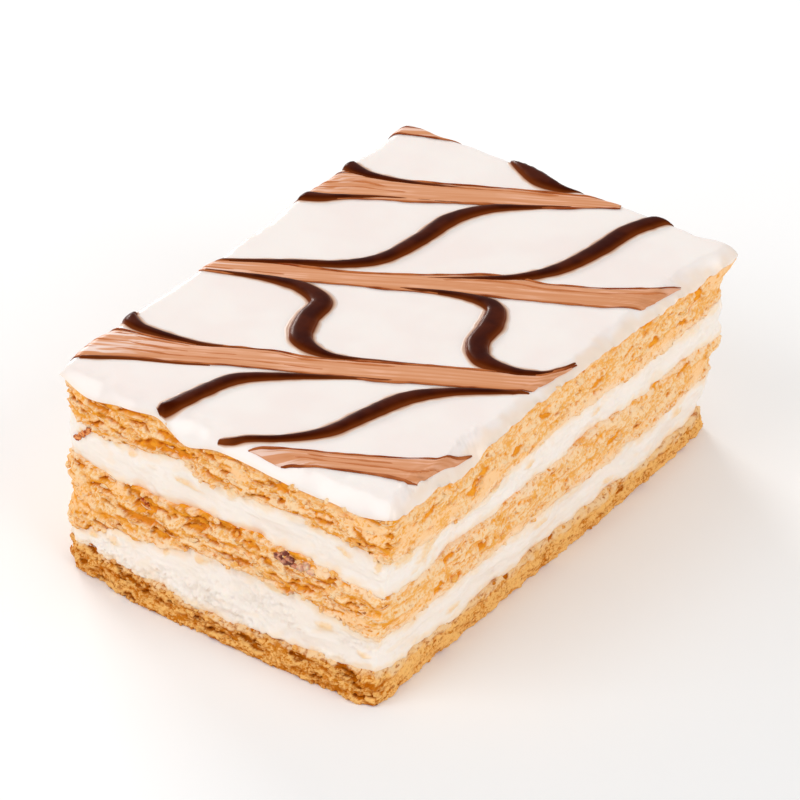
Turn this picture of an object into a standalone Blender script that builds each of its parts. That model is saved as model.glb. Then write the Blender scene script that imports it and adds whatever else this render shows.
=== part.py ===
"""A rectangular slice of napoleon cake, cut and ready to serve.

Three sheets of flaky pastry with two layers of cream between them, under icing that is feathered
with dark and milk chocolate. Blender's metres, +Z up. X runs along the short cut side, Y along the
long one. The slice stands on z = 0 and the middle of its box is over the origin.
"""

import math

import bmesh
import bpy
from mathutils import Vector, noise

MM = 0.001

# The upright box that the knife cut, before its sides lean. The slice's own middle is taken off.
MIDDLE_X, MIDDLE_Y = -0.4 * MM, -0.33 * MM
LEFT, RIGHT = -37.6 * MM, 37.0 * MM
FRONT, BACK = -51.5 * MM, 53.3 * MM
HEIGHT = 42.0 * MM
GAP = 0.3 * MM

# The cuts lean: the right side is undercut towards the floor, and the front's foot swells forward.
UNDERCUT, UNDERCUT_BACK = 2.3 * MM, 0.7 * MM
FOOT = 4.2 * MM
BACK_SWELL = 1.0 * MM
CORNER = 1.6 * MM

# Stations round the slice: this many along X and along Y.
STATIONS_X, STATIONS_Y = 22, 31
STATIONS = 2 * (STATIONS_X + STATIONS_Y)
CORE = 0.8  # share of the slice that is flat inside, where nothing shows

# Heights of the boundaries between layers, in mm, at four places along each side of the slice:
# the front from its left corner, then the right side, the back and the left side, each in turn.
BOUNDARIES = {
    "sheet_1_top": (
        (6.2, 6.8, 4.6, 6.5), (6.4, 6.2, 6.4, 6.2),
        (5.2, 5.6, 6.3, 5.8), (6.2, 5.7, 6.4, 6.0),
    ),
    "cream_1_top": (
        (8.4, 13.4, 16.4, 16.4), (13.0, 13.6, 13.3, 12.8),
        (13.5, 13.0, 14.2, 13.4), (13.8, 12.9, 14.0, 12.6),
    ),
    "sheet_2_top": (
        (23.8, 23.6, 24.5, 24.9), (22.6, 22.8, 23.5, 22.7),
        (22.6, 23.2, 22.6, 23.6), (23.0, 23.8, 22.9, 23.4),
    ),
    "cream_2_top": (
        (33.0, 32.0, 31.5, 32.2), (30.0, 27.8, 30.2, 29.0),
        (29.6, 30.6, 29.4, 30.2), (30.8, 29.9, 31.2, 30.6),
    ),
    "sheet_3_top": (
        (40.2, 40.6, 38.7, 38.9), (39.6, 39.2, 40.3, 40.1),
        (39.5, 39.8, 39.4, 39.9), (39.6, 39.7, 39.3, 39.9),
    ),
}
ICING_EDGE_DROP = 0.9 * MM
ICING_CORE = 0.93

# Relief of the cut sides: length along the cut, height and depth. The pastry tears into crags,
# the pressed bottom sheet into smaller ones, and the cream and the icing only swell.
CRAG = (6.5 * MM, 1.9 * MM, 2.0 * MM)
SMALL_CRAG = (5.0 * MM, 1.9 * MM, 1.2 * MM)
SWELL = (11.0 * MM, 5.0 * MM, 1.2 * MM)
LIP_SWELL = (14.0 * MM, 9.0 * MM, 0.6 * MM)

# The milk chocolate bands were drawn across the icing, side by side, at one angle. Each has its
# place across the slope, where it starts and ends along it, and its widths at the start and end.
BAND_ANGLE = math.radians(28.5)
BAND_HEIGHT = 0.4 * MM
MILK_BANDS = {
    "band_front": (-50.2, -17.0, 13.5, 3.0, 4.6),
    "band_left": (-20.4, -51.0, 29.3, 6.8, 4.6),
    "band_middle": (8.4, -34.0, 44.5, 3.6, 5.2),
    "band_back": (39.4, -19.0, 32.5, 5.8, 3.8),
    "band_corner": (60.8, -6.0, -2.0, 3.4, 2.0),
}

# The dark chocolate was piped first and dragged by the bands, so each stroke swells between two
# bands and thins out along them: x, y and width in mm. A stroke stands up by this share of its width.
STROKE_HEIGHT = 0.32
DARK_STROKES = {
    "stroke_back_edge": ((-12.0, 51.0, 1.4), (-7.5, 49.9, 3.2), (-3.0, 49.7, 2.4), (2.5, 50.4, 1.0)),
    "stroke_left_edge": (
        (-35.4, 33.5, 2.8), (-30.5, 33.7, 2.2), (-22.8, 36.2, 1.2), (-11.5, 42.0, 0.8), (-3.0, 46.2, 0.6),
    ),
    "stroke_left_tip": ((-35.6, 20.0, 1.9), (-32.0, 23.6, 1.5), (-24.8, 27.8, 1.1), (-14.0, 34.3, 0.7)),
    "stroke_back": (
        (-32.5, -3.8, 0.9), (-24.4, 0.6, 1.0), (-17.2, 5.6, 1.4), (-12.8, 11.6, 2.2), (-11.5, 20.6, 2.8),
        (-10.4, 29.5, 2.6), (-6.6, 37.0, 1.8), (0.4, 42.2, 1.0), (6.7, 46.6, 0.6),
    ),
    "stroke_right": (
        (-5.6, 9.2, 0.8), (4.3, 15.5, 1.1), (11.4, 20.6, 1.7), (15.9, 27.6, 2.6), (17.8, 36.6, 2.9),
        (19.0, 45.0, 2.7), (22.4, 50.4, 1.8),
    ),
    "stroke_middle_left": (
        (-34.6, -10.6, 0.8), (-25.0, -6.8, 1.2), (-17.4, -4.9, 2.4), (-13.4, -7.6, 3.0),
        (-11.7, -13.9, 3.1), (-7.4, -19.6, 2.4), (-0.4, -20.3, 1.2), (9.0, -16.0, 0.6),
    ),
    "stroke_middle_right": (
        (-2.4, 5.4, 0.7), (7.0, 9.1, 1.4), (13.4, 9.4, 2.7), (15.9, 4.2, 3.2), (17.9, -1.6, 3.1),
        (22.6, -5.0, 2.2), (29.6, -4.6, 1.2), (34.6, -1.6, 0.7),
    ),
    "stroke_left_front": (
        (-35.6, -31.9, 2.0), (-30.8, -32.7, 1.8), (-22.9, -31.2, 1.3), (-11.8, -26.3, 0.8),
        (-2.0, -23.6, 0.6),
    ),
    "stroke_front_left": (
        (-13.6, -48.6, 2.2), (-12.6, -42.6, 2.9), (-10.0, -36.0, 2.6), (-4.0, -30.7, 1.6), (5.0, -25.0, 0.8),
    ),
    "stroke_front_right": (
        (2.0, -50.0, 1.2), (8.0, -45.4, 1.7), (13.1, -39.4, 2.5), (14.9, -31.2, 2.8), (17.5, -22.4, 2.5),
        (23.3, -16.2, 1.6), (33.4, -9.2, 0.8),
    ),
}


def material(name, colour, roughness):
    """A plain food material with the layer's own colour and roughness."""
    made = bpy.data.materials.new(name)
    made.use_nodes = True
    shader = made.node_tree.nodes["Principled BSDF"]
    shader.inputs["Base Color"].default_value = (*colour, 1.0)
    shader.inputs["Roughness"].default_value = roughness
    shader.inputs["Metallic"].default_value = 0.0
    made.diffuse_color = (*colour, 1.0)
    return made


def square_place(station):
    """The station's place on a square from -1 to 1, counted from the left front corner."""
    counts = (STATIONS_X, STATIONS_Y, STATIONS_X, STATIONS_Y)
    corners = ((-1, -1), (1, -1), (1, 1), (-1, 1))
    for side, count in enumerate(counts):
        if station < count:
            start, end = corners[side], corners[(side + 1) % 4]
            share = station / count
            return tuple(a + (b - a) * share for a, b in zip(start, end))
        station -= count


def plan(place, scale):
    """Square coordinates, pulled in by the scale, as x and y in the slice's plan."""
    x = (LEFT + RIGHT) / 2 + (RIGHT - LEFT) / 2 * place[0] * scale
    y = (FRONT + BACK) / 2 + (BACK - FRONT) / 2 * place[1] * scale
    return x, y


def square(x, y):
    """The other way: x and y in the plan as square coordinates."""
    return (
        (x - (LEFT + RIGHT) / 2) / ((RIGHT - LEFT) / 2),
        (y - (FRONT + BACK) / 2) / ((BACK - FRONT) / 2),
    )


def way_round(u, v):
    """How far round the slice a point of the square lies, from 0 to 4, one for each side."""
    if abs(v) >= abs(u):
        return (u / -v + 1) / 2 if v < 0 else 2 + (1 - u / v) / 2
    return 1 + (v / u + 1) / 2 if u > 0 else 3 + (1 - v / -u) / 2


def round_the_slice(sides, way):
    """Read the values along the four sides as one closed ring, with smooth steps between them."""
    values = [value for side in sides for value in side]
    at = way * len(sides[0])
    first = math.floor(at)
    ease = at - first
    ease = ease * ease * (3 - 2 * ease)
    a, b = values[first % len(values)], values[(first + 1) % len(values)]
    return a + (b - a) * ease


def boundary(name, x, y):
    """Height of a boundary between layers: flat inside the slice, uneven at its cut sides."""
    u, v = square(x, y)
    reach = max(abs(u), abs(v), 1e-6)
    if name == "floor":
        return 0.0
    if name == "icing_top":
        fall = min(max((reach - ICING_CORE) / (1 - ICING_CORE), 0.0), 1.3)
        return HEIGHT - ICING_EDGE_DROP * fall
    sides = BOUNDARIES[name]
    inside = sum(sum(side) / len(side) for side in sides) / len(sides)
    edge = round_the_slice(sides, way_round(u, v))
    fade = min(max((reach - CORE) / (1 - CORE), 0.0), 1.1)
    return (inside + (edge - inside) * fade) * MM


def outward(u, v):
    """Unit direction out of the cut side, diagonal at the corners."""
    near = 0.97
    way = Vector((u if abs(u) > near else 0.0, v if abs(v) > near else 0.0, 0.0))
    return way.normalized()


def relief(x, y, z, seed, size):
    """Crags on a cut side, long along the cut and low in height."""
    length, height, depth = size
    coarse = noise.noise(Vector((x / length, y / length, z / height + seed)))
    fine = noise.noise(Vector((x / length * 2.3, y / length * 2.3, z / height * 1.7 + seed + 31)))
    return depth * (coarse + 0.5 * fine)


def lean(x, y, z):
    """Move a point as the knife left the cuts: undercut on the right and swollen at the front's foot."""
    u, v = square(x, y)
    down = 1 - z / HEIGHT
    along = min(max((u + 1) / 2, 0.0), 1.0)
    towards_back = min(max((v - 0.5) / 0.5, 0.0), 1.0)
    undercut = (UNDERCUT + UNDERCUT_BACK * towards_back) * down * along
    foot = FOOT * min(1.0, (along / 0.28) ** 0.6) - MM * max(0.0, (along - 0.8) / 0.2)
    front = foot * down * max(0.0, (1 - v) / 2) ** 2
    back = BACK_SWELL * math.sin(math.pi * along) * max(0.0, (v + 1) / 2) ** 2 * (1 - down)
    square_corner = min(abs(u * v), 1.0) ** 14 * CORNER * (0.35 + 0.65 * down)
    x -= undercut + math.copysign(square_corner, u)
    y += back - front - math.copysign(square_corner, v)
    return x, y


def layer(name, lower, upper, rings, seed, size, own_material):
    """One layer of the slice, from its lower boundary to its upper one.

    A disc of stations is extruded through a list of rings, each with its scale in the plan, its
    share of the layer's height and how far it stands in from the cut, then put in place.
    """
    bm = bmesh.new()
    station_of = bm.verts.layers.int.new("station")
    ring_of = bm.verts.layers.int.new("ring")
    bmesh.ops.create_circle(bm, cap_ends=True, segments=STATIONS, radius=1.0)
    for number, vert in enumerate(bm.verts):
        vert[station_of] = number
    cap = bm.faces[:][0]
    for number in range(1, len(rings)):
        made = bmesh.ops.extrude_face_region(bm, geom=[cap])["geom"]
        for vert in (g for g in made if isinstance(g, bmesh.types.BMVert)):
            vert[ring_of] = number
        if number > 1:
            bmesh.ops.delete(bm, geom=[cap], context="FACES_ONLY")
        cap = next(g for g in made if isinstance(g, bmesh.types.BMFace))
    for vert in bm.verts:
        scale, share, inset = rings[vert[ring_of]]
        place = square_place(vert[station_of])
        x, y = plan(place, scale)
        low = boundary(lower, x, y) + (GAP / 2 if lower != "floor" else 0.0)
        high = boundary(upper, x, y) - (GAP / 2 if upper != "icing_top" else 0.0)
        z = low + (high - low) * share
        if scale == 1.0:
            way = outward(*place)
            out = relief(x, y, z, seed, size) - inset
            x, y = x + way.x * out, y + way.y * out
            low = boundary(lower, x, y) + (GAP / 2 if lower != "floor" else 0.0)
            high = boundary(upper, x, y) - (GAP / 2 if upper != "icing_top" else 0.0)
            z = low + (high - low) * share
        x, y = lean(x, y, z)
        vert.co = (x - MIDDLE_X, y - MIDDLE_Y, z)
    split_rings(bm, station_of, ring_of)
    bmesh.ops.recalc_face_normals(bm, faces=bm.faces)
    mesh = bpy.data.meshes.new(name)
    bm.to_mesh(mesh)
    bm.free()
    mesh.materials.append(own_material)
    piece = bpy.data.objects.new(name, mesh)
    slice_parts.objects.link(piece)
    return piece


def split_rings(bm, station_of, ring_of):
    """Split every four-sided face the same way, so that facing layers keep their gap."""
    for face in [f for f in bm.faces if len(f.verts) == 4]:
        rings = sorted({v[ring_of] for v in face.verts})
        stations = sorted({v[station_of] for v in face.verts})
        first, last = stations if stations[1] - stations[0] == 1 else reversed(stations)
        wide = rings[1] if rings[0] == 0 else rings[0]
        narrow = rings[0] if wide == rings[1] else rings[1]
        corner = next(v for v in face.verts if (v[station_of], v[ring_of]) == (first, narrow))
        across = next(v for v in face.verts if (v[station_of], v[ring_of]) == (last, wide))
        bmesh.utils.face_split(face, corner, across)


def chocolate(name, points, height_share, own_material):
    """A line of chocolate on the icing: a tapered tube, flattened and laid on the surface."""
    curve = bpy.data.curves.new(name, "CURVE")
    curve.dimensions = "3D"
    curve.bevel_depth = 1.0 * MM
    curve.bevel_resolution = 1
    curve.resolution_u = 3
    curve.use_fill_caps = True
    spline = curve.splines.new("BEZIER")
    spline.bezier_points.add(len(points) - 1)
    for point, (x, y, width) in zip(spline.bezier_points, points):
        point.co = (x * MM, y * MM, 0.0)
        point.radius = width / 2
        point.handle_left_type = point.handle_right_type = "AUTO"
    line = bpy.data.objects.new(name, curve)
    slice_parts.objects.link(line)
    bpy.context.view_layer.update()
    mesh = bpy.data.meshes.new_from_object(line.evaluated_get(bpy.context.evaluated_depsgraph_get()))
    bpy.data.objects.remove(line)
    bm = bmesh.new()
    bm.from_mesh(mesh)
    bmesh.ops.remove_doubles(bm, verts=bm.verts, dist=0.01 * MM)
    for vert in bm.verts:
        x, y, rise = vert.co
        z = boundary("icing_top", x, y) + rise * height_share
        x, y = lean(x, y, z)
        vert.co = (x - MIDDLE_X, y - MIDDLE_Y, z)
    bmesh.ops.recalc_face_normals(bm, faces=bm.faces)
    bm.to_mesh(mesh)
    bm.free()
    mesh.materials.clear()
    mesh.materials.append(own_material)
    piece = bpy.data.objects.new(name, mesh)
    drizzle.objects.link(piece)


def band_points(across, start, end, start_width, end_width):
    """Points along one milk chocolate band, which thins to a tip at both ends."""
    points = []
    for share in (0.0, 0.12, 0.5, 0.88, 1.0):
        along = start + (end - start) * share
        width = start_width + (end_width - start_width) * share
        if share in (0.0, 1.0):
            width *= 0.45
        x = along * math.cos(BAND_ANGLE) - across * math.sin(BAND_ANGLE)
        y = along * math.sin(BAND_ANGLE) + across * math.cos(BAND_ANGLE)
        points.append((x, y, width))
    return points


def fuse_drizzle(icing):
    """Join the chocolate to the icing in one union, and take its own pieces away."""
    joined = icing.modifiers.new("drizzle", "BOOLEAN")
    joined.operation = "UNION"
    joined.solver = "EXACT"
    joined.operand_type = "COLLECTION"
    joined.collection = drizzle
    joined.use_self = True
    bpy.context.view_layer.update()
    fused = bpy.data.meshes.new_from_object(icing.evaluated_get(bpy.context.evaluated_depsgraph_get()))
    icing.modifiers.clear()
    icing.data = fused
    for piece in list(drizzle.objects):
        bpy.data.objects.remove(piece)
    bpy.data.collections.remove(drizzle)


for old in list(bpy.data.objects):
    bpy.data.objects.remove(old)
slice_parts = bpy.data.collections.new("napoleon_slice")
drizzle = bpy.data.collections.new("drizzle")
for group in (slice_parts, drizzle):
    bpy.context.scene.collection.children.link(group)

baked = material("baked_pastry", (0.60, 0.33, 0.10), 0.75)
golden = material("golden_pastry", (0.78, 0.48, 0.19), 0.75)
cream = material("cream", (0.92, 0.87, 0.78), 0.45)
icing_white = material("icing_white", (0.90, 0.84, 0.79), 0.22)
dark_chocolate = material("dark_chocolate", (0.06, 0.018, 0.008), 0.25)
milk_chocolate = material("milk_chocolate", (0.62, 0.29, 0.13), 0.35)



def sheet_rings(rows, inset):
    """A layer's rings: flat inside, then rows up its cut side, then flat inside again."""
    side = [(1.0, row / rows, inset) for row in range(rows + 1)]
    return [(CORE, 0.0, 0.0), *side, (CORE, 1.0, 0.0)]


icing_rings = [
    (CORE, 0.0, 0.0),
    (1.0, 0.0, 0.2 * MM),
    (1.0, 0.5, -0.2 * MM),
    (1.0, 1.0, 0.7 * MM),
    (ICING_CORE, 1.0, 0.0),
    (CORE, 1.0, 0.0),
]
CREAM_INSET = 0.3 * MM

layer("pastry_bottom", "floor", "sheet_1_top", sheet_rings(3, 0.0), 3.0, SMALL_CRAG, baked)
layer("cream_lower", "sheet_1_top", "cream_1_top", sheet_rings(3, CREAM_INSET), 17.0, SWELL, cream)
layer("pastry_middle", "cream_1_top", "sheet_2_top", sheet_rings(5, 0.0), 41.0, CRAG, golden)
layer("cream_upper", "sheet_2_top", "cream_2_top", sheet_rings(3, CREAM_INSET), 59.0, SWELL, cream)
layer("pastry_top", "cream_2_top", "sheet_3_top", sheet_rings(5, 0.0), 73.0, CRAG, golden)
icing = layer("icing", "sheet_3_top", "icing_top", icing_rings, 97.0, LIP_SWELL, icing_white)
for band_name, (across, start, end, *widths) in MILK_BANDS.items():
    height_share = 2 * BAND_HEIGHT / (max(widths) * MM)
    chocolate(band_name, band_points(across, start, end, *widths), height_share, milk_chocolate)
for stroke_name, stroke in DARK_STROKES.items():
    chocolate(stroke_name, stroke, 2 * STROKE_HEIGHT, dark_chocolate)
fuse_drizzle(icing)
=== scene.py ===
# %% [markdown]
# # A slice of napoleon cake
# Three sheets of flaky pastry, two layers of cream, and a white icing feathered with chocolate. The
# plain model of the slice is already there as a frame. This script dresses it: it makes the fine
# surface of every layer, mixes a material for each, and lights and looks at the slice as a
# photographer would. All shapes are worked out in millimetres and turned into metres at the end.

# %% Load the frame
import math

import bmesh
import bpy
import numpy as np
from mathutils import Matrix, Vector, noise


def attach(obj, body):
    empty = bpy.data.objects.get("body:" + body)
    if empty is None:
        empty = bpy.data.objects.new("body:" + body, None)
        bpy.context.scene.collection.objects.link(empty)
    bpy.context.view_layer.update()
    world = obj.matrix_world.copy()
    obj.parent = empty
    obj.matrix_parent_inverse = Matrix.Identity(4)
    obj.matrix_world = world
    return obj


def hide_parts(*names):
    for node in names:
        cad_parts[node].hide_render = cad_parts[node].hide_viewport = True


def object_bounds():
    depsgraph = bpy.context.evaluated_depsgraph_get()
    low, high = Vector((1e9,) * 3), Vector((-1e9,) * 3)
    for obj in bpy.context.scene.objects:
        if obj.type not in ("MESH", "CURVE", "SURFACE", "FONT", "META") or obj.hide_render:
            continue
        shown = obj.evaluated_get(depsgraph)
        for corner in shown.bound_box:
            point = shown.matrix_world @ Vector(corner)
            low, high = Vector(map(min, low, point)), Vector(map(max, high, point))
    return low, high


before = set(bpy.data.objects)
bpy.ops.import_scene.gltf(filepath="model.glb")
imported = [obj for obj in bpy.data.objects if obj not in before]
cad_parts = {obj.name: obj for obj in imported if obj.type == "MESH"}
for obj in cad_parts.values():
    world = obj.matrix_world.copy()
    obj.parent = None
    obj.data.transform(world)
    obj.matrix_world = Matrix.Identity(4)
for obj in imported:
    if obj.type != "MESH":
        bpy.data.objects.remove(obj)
box_low, box_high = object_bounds()
print("the plain model's box:", tuple(box_low), tuple(box_high))
MM = 0.001

# %% [markdown]
# ## The camera
# The slice was photographed from above its front right corner with a long lens, so its far edges
# are nearly as long as its near ones. The camera is set by how high and how far round it stands,
# by its distance, and by a small shift sideways and upwards that centres the slice in the frame.

# %% Place the camera
ELEVATION, AZIMUTH = math.radians(34.235), math.radians(36.32)
DISTANCE, ASIDE, ABOVE = 920.0, 0.05, 17.93
LENS, SENSOR = 221.9, 36.0
MIDDLE_X, MIDDLE_Y = -0.4, -0.33

back = Vector((
    math.sin(AZIMUTH) * math.cos(ELEVATION),
    -math.cos(AZIMUTH) * math.cos(ELEVATION),
    math.sin(ELEVATION),
))
rightwards = Vector((math.cos(AZIMUTH), math.sin(AZIMUTH), 0.0))
upwards = back.cross(rightwards)
camera = bpy.data.objects.new("camera", bpy.data.cameras.new("camera"))
camera.data.lens, camera.data.sensor_width = LENS, SENSOR
camera.data.clip_start, camera.data.clip_end = 0.05, 10.0
eye = rightwards * ASIDE + upwards * ABOVE + back * DISTANCE - Vector((MIDDLE_X, MIDDLE_Y, 0.0))
camera.location = eye * MM
camera.rotation_mode = "QUATERNION"
camera.rotation_quaternion = back.to_track_quat("Z", "Y")
bpy.context.scene.collection.objects.link(camera)
bpy.context.scene.camera = camera
bpy.context.scene.view_settings.view_transform = "Standard"
print("the camera stands", round(camera.location.length, 3), "m from the slice")

# %% [markdown]
# ## The shape that the knife left
# The cake was cut into an upright box, but soft cake leans and bulges under the knife. These are
# the same sizes that the plain model uses, so the fine surface lands where the plain one is.

# %% Sizes of the slice, in mm
LEFT, RIGHT, FRONT, BACK = -37.6, 37.0, -51.5, 53.3
HALF_X, HALF_Y = (RIGHT - LEFT) / 2, (BACK - FRONT) / 2
CENTRE_X, CENTRE_Y = (LEFT + RIGHT) / 2, (FRONT + BACK) / 2
CENTRE, HALF = np.array((CENTRE_X, CENTRE_Y)), np.array((HALF_X, HALF_Y))
HEIGHT = 42.0
UNDERCUT, UNDERCUT_BACK = 2.3, 0.7  # how far in the right side's foot lies, and how much more at the back
FOOT, BACK_SWELL, CORNER = 4.2, 1.0, 1.6  # the front's foot, the back's swell and the worn corners
FLAT_CORE = 0.8  # share of the slice inside which the boundaries between layers are level
print("the slice was cut", round(2 * HALF_X, 1), "mm wide and", round(2 * HALF_Y, 1), "mm long")

# %% [markdown]
# ## Where one layer ends and the next begins
# Each boundary between two layers is a wavy line round the slice. It is given by heights at a few
# places along the front, the right side, the back and the left side, and a smooth step runs from
# one to the next. Both neighbours read the same line, so no gap opens between them.

# %% Heights of the boundaries, in mm
BOUNDARIES = {
    "sheet_1_top": (
        (6.2, 6.8, 4.6, 6.5), (6.4, 6.2, 6.4, 6.2),
        (5.2, 5.6, 6.3, 5.8), (6.2, 5.7, 6.4, 6.0),
    ),
    "cream_1_top": (
        (8.4, 13.4, 16.4, 16.4), (13.0, 13.6, 13.3, 12.8),
        (13.5, 13.0, 14.2, 13.4), (13.8, 12.9, 14.0, 12.6),
    ),
    "sheet_2_top": (
        (23.8, 23.6, 24.5, 24.9), (22.6, 22.8, 23.5, 22.7),
        (22.6, 23.2, 22.6, 23.6), (23.0, 23.8, 22.9, 23.4),
    ),
    "cream_2_top": (
        (33.0, 30.6, 32.4, 32.6, 31.2, 32.0, 32.0, 31.0),
        (30.0, 28.2, 27.8, 29.4, 30.2, 30.0, 29.0, 29.2),
        (29.6, 30.6, 29.4, 30.2), (30.8, 29.9, 31.2, 30.6),
    ),
    "sheet_3_top": (
        (40.2, 38.5, 39.7, 40.5, 37.5, 39.3, 38.9, 38.2, 38.1, 37.8),
        (38.9, 39.3, 37.5, 40.1, 40.3, 40.3, 40.1, 39.7, 39.2, 38.7),
        (39.5, 39.8, 39.4, 39.9), (39.6, 39.7, 39.3, 39.9),
    ),
}


def round_the_slice(sides, way):
    """Read the values along the four sides as one closed ring, with smooth steps between them."""
    knots, values = [], []
    for number, side in enumerate(sides):
        knots += [number + place / len(side) for place in range(len(side))]
        values += side
    knots, values = np.array(knots + [4.0]), np.array(values + values[:1])
    way = np.mod(way, 4.0)
    first = np.clip(np.searchsorted(knots, way, side="right") - 1, 0, len(knots) - 2)
    ease = (way - knots[first]) / (knots[first + 1] - knots[first])
    ease = ease * ease * (3 - 2 * ease)
    return values[first] + (values[first + 1] - values[first]) * ease


for boundary_name, boundary in BOUNDARIES.items():
    mean_height = round_the_slice(boundary, np.arange(0, 4, 0.01)).mean()
    print(boundary_name, "runs at", round(float(mean_height), 1), "mm")

# %% [markdown]
# ## Noise, the cook's unevenness
# Nothing baked is smooth or regular. Blender's noise gives one soft bump field without an end;
# stretched along the cut and squeezed in height it becomes layers, bubbles and crumb. Each call
# takes a whole array of points, the size of one bump along x, y and z, and a seed of its own.

# %% Noise helpers
def wobble(points, size, seed, octaves=1):
    """Blender's noise at every point, between about -1 and 1, with finer octaves on top."""
    places = (points / np.array(size) + np.array((seed * 1.37, seed * 0.71, seed * 2.13))).tolist()
    if octaves == 1:
        return np.array([noise.noise(place) for place in places])
    return np.array([noise.fractal(place, 1.0, 2.0, octaves) for place in places])


def step(low, high, values):
    """A smooth step from 0 at low to 1 at high."""
    share = np.clip((values - low) / (high - low), 0.0, 1.0)
    return share * share * (3 - 2 * share)


print("halfway through a step its height is", round(float(step(2.0, 4.0, 3.0)), 2))

# %% [markdown]
# ## Lean and swell
# Every point is worked out on the upright box first, and then moved as the knife moved the cake:
# the right side is undercut towards the floor, the front's foot swells forward, and the corners
# are worn round. A last soft limit keeps the surface inside the plain model's box.

# %% Move points as the knife did
def lean(x, y, z):
    """Move points of the upright box to where the cut left them."""
    u, v = (x - CENTRE_X) / HALF_X, (y - CENTRE_Y) / HALF_Y
    down = 1 - z / HEIGHT
    along = np.clip((u + 1) / 2, 0.0, 1.0)
    undercut = (UNDERCUT + UNDERCUT_BACK * np.clip((v - 0.5) / 0.5, 0.0, 1.0)) * down * along
    foot = FOOT * np.minimum(1.0, (along / 0.28) ** 0.6) - np.maximum(0.0, (along - 0.8) / 0.2)
    front = foot * down * np.maximum(0.0, (1 - v) / 2) ** 2
    swell = BACK_SWELL * np.sin(np.pi * along) * np.maximum(0.0, (v + 1) / 2) ** 2 * (1 - down)
    worn = np.minimum(np.abs(u * v), 1.0) ** 14 * CORNER * (0.35 + 0.65 * down)
    return x - undercut - np.copysign(worn, u), y + swell - front - np.copysign(worn, v)


def into_box(points, margin=0.04, soft=0.5):
    """Press what sticks out of the plain model's box softly back into it; from mm to metres."""
    moved = points - np.array((MIDDLE_X, MIDDLE_Y, 0.0))
    for axis in range(3):
        for limit, side in ((box_high[axis] / MM - margin, 1), (box_low[axis] / MM + margin, -1)):
            if axis == 2 and side == -1:
                moved[:, 2] = np.maximum(moved[:, 2], 0.0)
                continue
            over = (moved[:, axis] - limit) * side + soft
            pressed = limit + side * (soft * np.tanh(np.maximum(over, 0) / soft) - soft)
            moved[:, axis] = np.where(over > 0, pressed, moved[:, axis])
    return moved * MM


print("the right side's foot lies", round(RIGHT - float(lean(RIGHT, 0.0, 0.0)[0]), 1), "mm further in")

# %% [markdown]
# ## A ring of columns
# A layer of the slice is a closed skin. Upright columns stand side by side round the slice, a fifth
# of a millimetre apart, and rows run up each column. The first and last rows lie inside, against
# the neighbouring layers, where two fans close the skin. Pushing the points of the side rows out
# or in gives relief that no flat texture could.

# %% Columns, rows and the closed skin
COUNTS = (370, 510, 220, 300)  # columns along the front, the right side, the back and the left side
CORNER_REACH = 3.0  # mm from a corner within which the outward direction turns


def columns():
    """Places round the slice: way round it from 0 to 4, square coordinates and outward direction."""
    counts = [count for count in COUNTS]
    corners = np.array(((-1.0, -1.0), (1.0, -1.0), (1.0, 1.0), (-1.0, 1.0)))
    way = np.concatenate([side + np.arange(count) / count for side, count in enumerate(counts)])
    side, share = way.astype(int), (way % 1.0)[:, None]
    place = corners[side] * (1 - share) + corners[(side + 1) % 4] * share
    from_corner = HALF * (1 - np.abs(place))
    out = np.sign(place) * np.clip(1 - from_corner / CORNER_REACH, 0.0, 1.0) ** 2
    return way, place, out / np.linalg.norm(out, axis=1)[:, None]


def skin_faces(row_count, column_count):
    """Quads between the rows and columns, and a fan of triangles at the bottom and the top."""
    row, column = np.mgrid[0:row_count - 1, 0:column_count]
    following = (column + 1) % column_count
    quads = np.stack(
        (row * column_count + column, row * column_count + following,
         (row + 1) * column_count + following, (row + 1) * column_count + column), axis=-1,
    ).reshape(-1, 4)
    last, bottom = (row_count - 1) * column_count, row_count * column_count
    top = bottom + 1
    fans = [(bottom, (n + 1) % column_count, n) for n in range(column_count)]
    fans += [(top, last + n, last + (n + 1) % column_count) for n in range(column_count)]
    return quads.tolist() + fans


def add_piece(name, points, faces, own_material, slot, nodes, masks=None):
    """Make an object from points in metres, with a value per point for each mask, and dress the node."""
    mesh = bpy.data.meshes.new(name)
    mesh.from_pydata(points.tolist(), [], faces)
    for mask, values in (masks or {}).items():
        mesh.attributes.new(mask, "FLOAT", "POINT").data.foreach_set("value", values.astype(np.float32))
    mesh.materials.append(own_material)
    mesh.shade_smooth()
    mesh.update()
    piece = bpy.data.objects.new(name, mesh)
    bpy.context.scene.collection.objects.link(piece)
    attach(piece, "root")
    for node in nodes:
        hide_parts(node)
    triangles = sum(len(polygon.vertices) - 2 for polygon in mesh.polygons)
    print(name, "has", triangles, "triangles")
    return piece


print("round the slice stand", len(columns()[0]), "columns")

# %% [markdown]
# ## Shader maths as plain expressions
# A material's colour is a chain of nodes, and a chain drawn by hand is hard to read. The class below
# wraps a socket, so that an expression such as 1 - mask * 2 adds the Math nodes that it needs.
# Any other node comes from one method, which takes the node's type, its settings and its inputs.

# %% Wires and recipes
class Wire:
    """An output socket that counts like a number."""

    def __init__(self, recipe, socket):
        self.recipe, self.socket = recipe, socket

    def math(self, operation, *values):
        return self.recipe.node("ShaderNodeMath", {"operation": operation}, values)

    def __add__(self, other):
        return self.math("ADD", self, other)

    def __sub__(self, other):
        return self.math("SUBTRACT", self, other)

    def __rsub__(self, other):
        return self.math("SUBTRACT", other, self)

    def __mul__(self, other):
        return self.math("MULTIPLY", self, other)

    __radd__, __rmul__ = __add__, __mul__

    def step(self, low, high):
        """A smooth step from 0 at low to 1 at high."""
        settings = {"interpolation_type": "SMOOTHSTEP"}
        return self.recipe.node("ShaderNodeMapRange", settings, (self, low, high))


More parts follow.
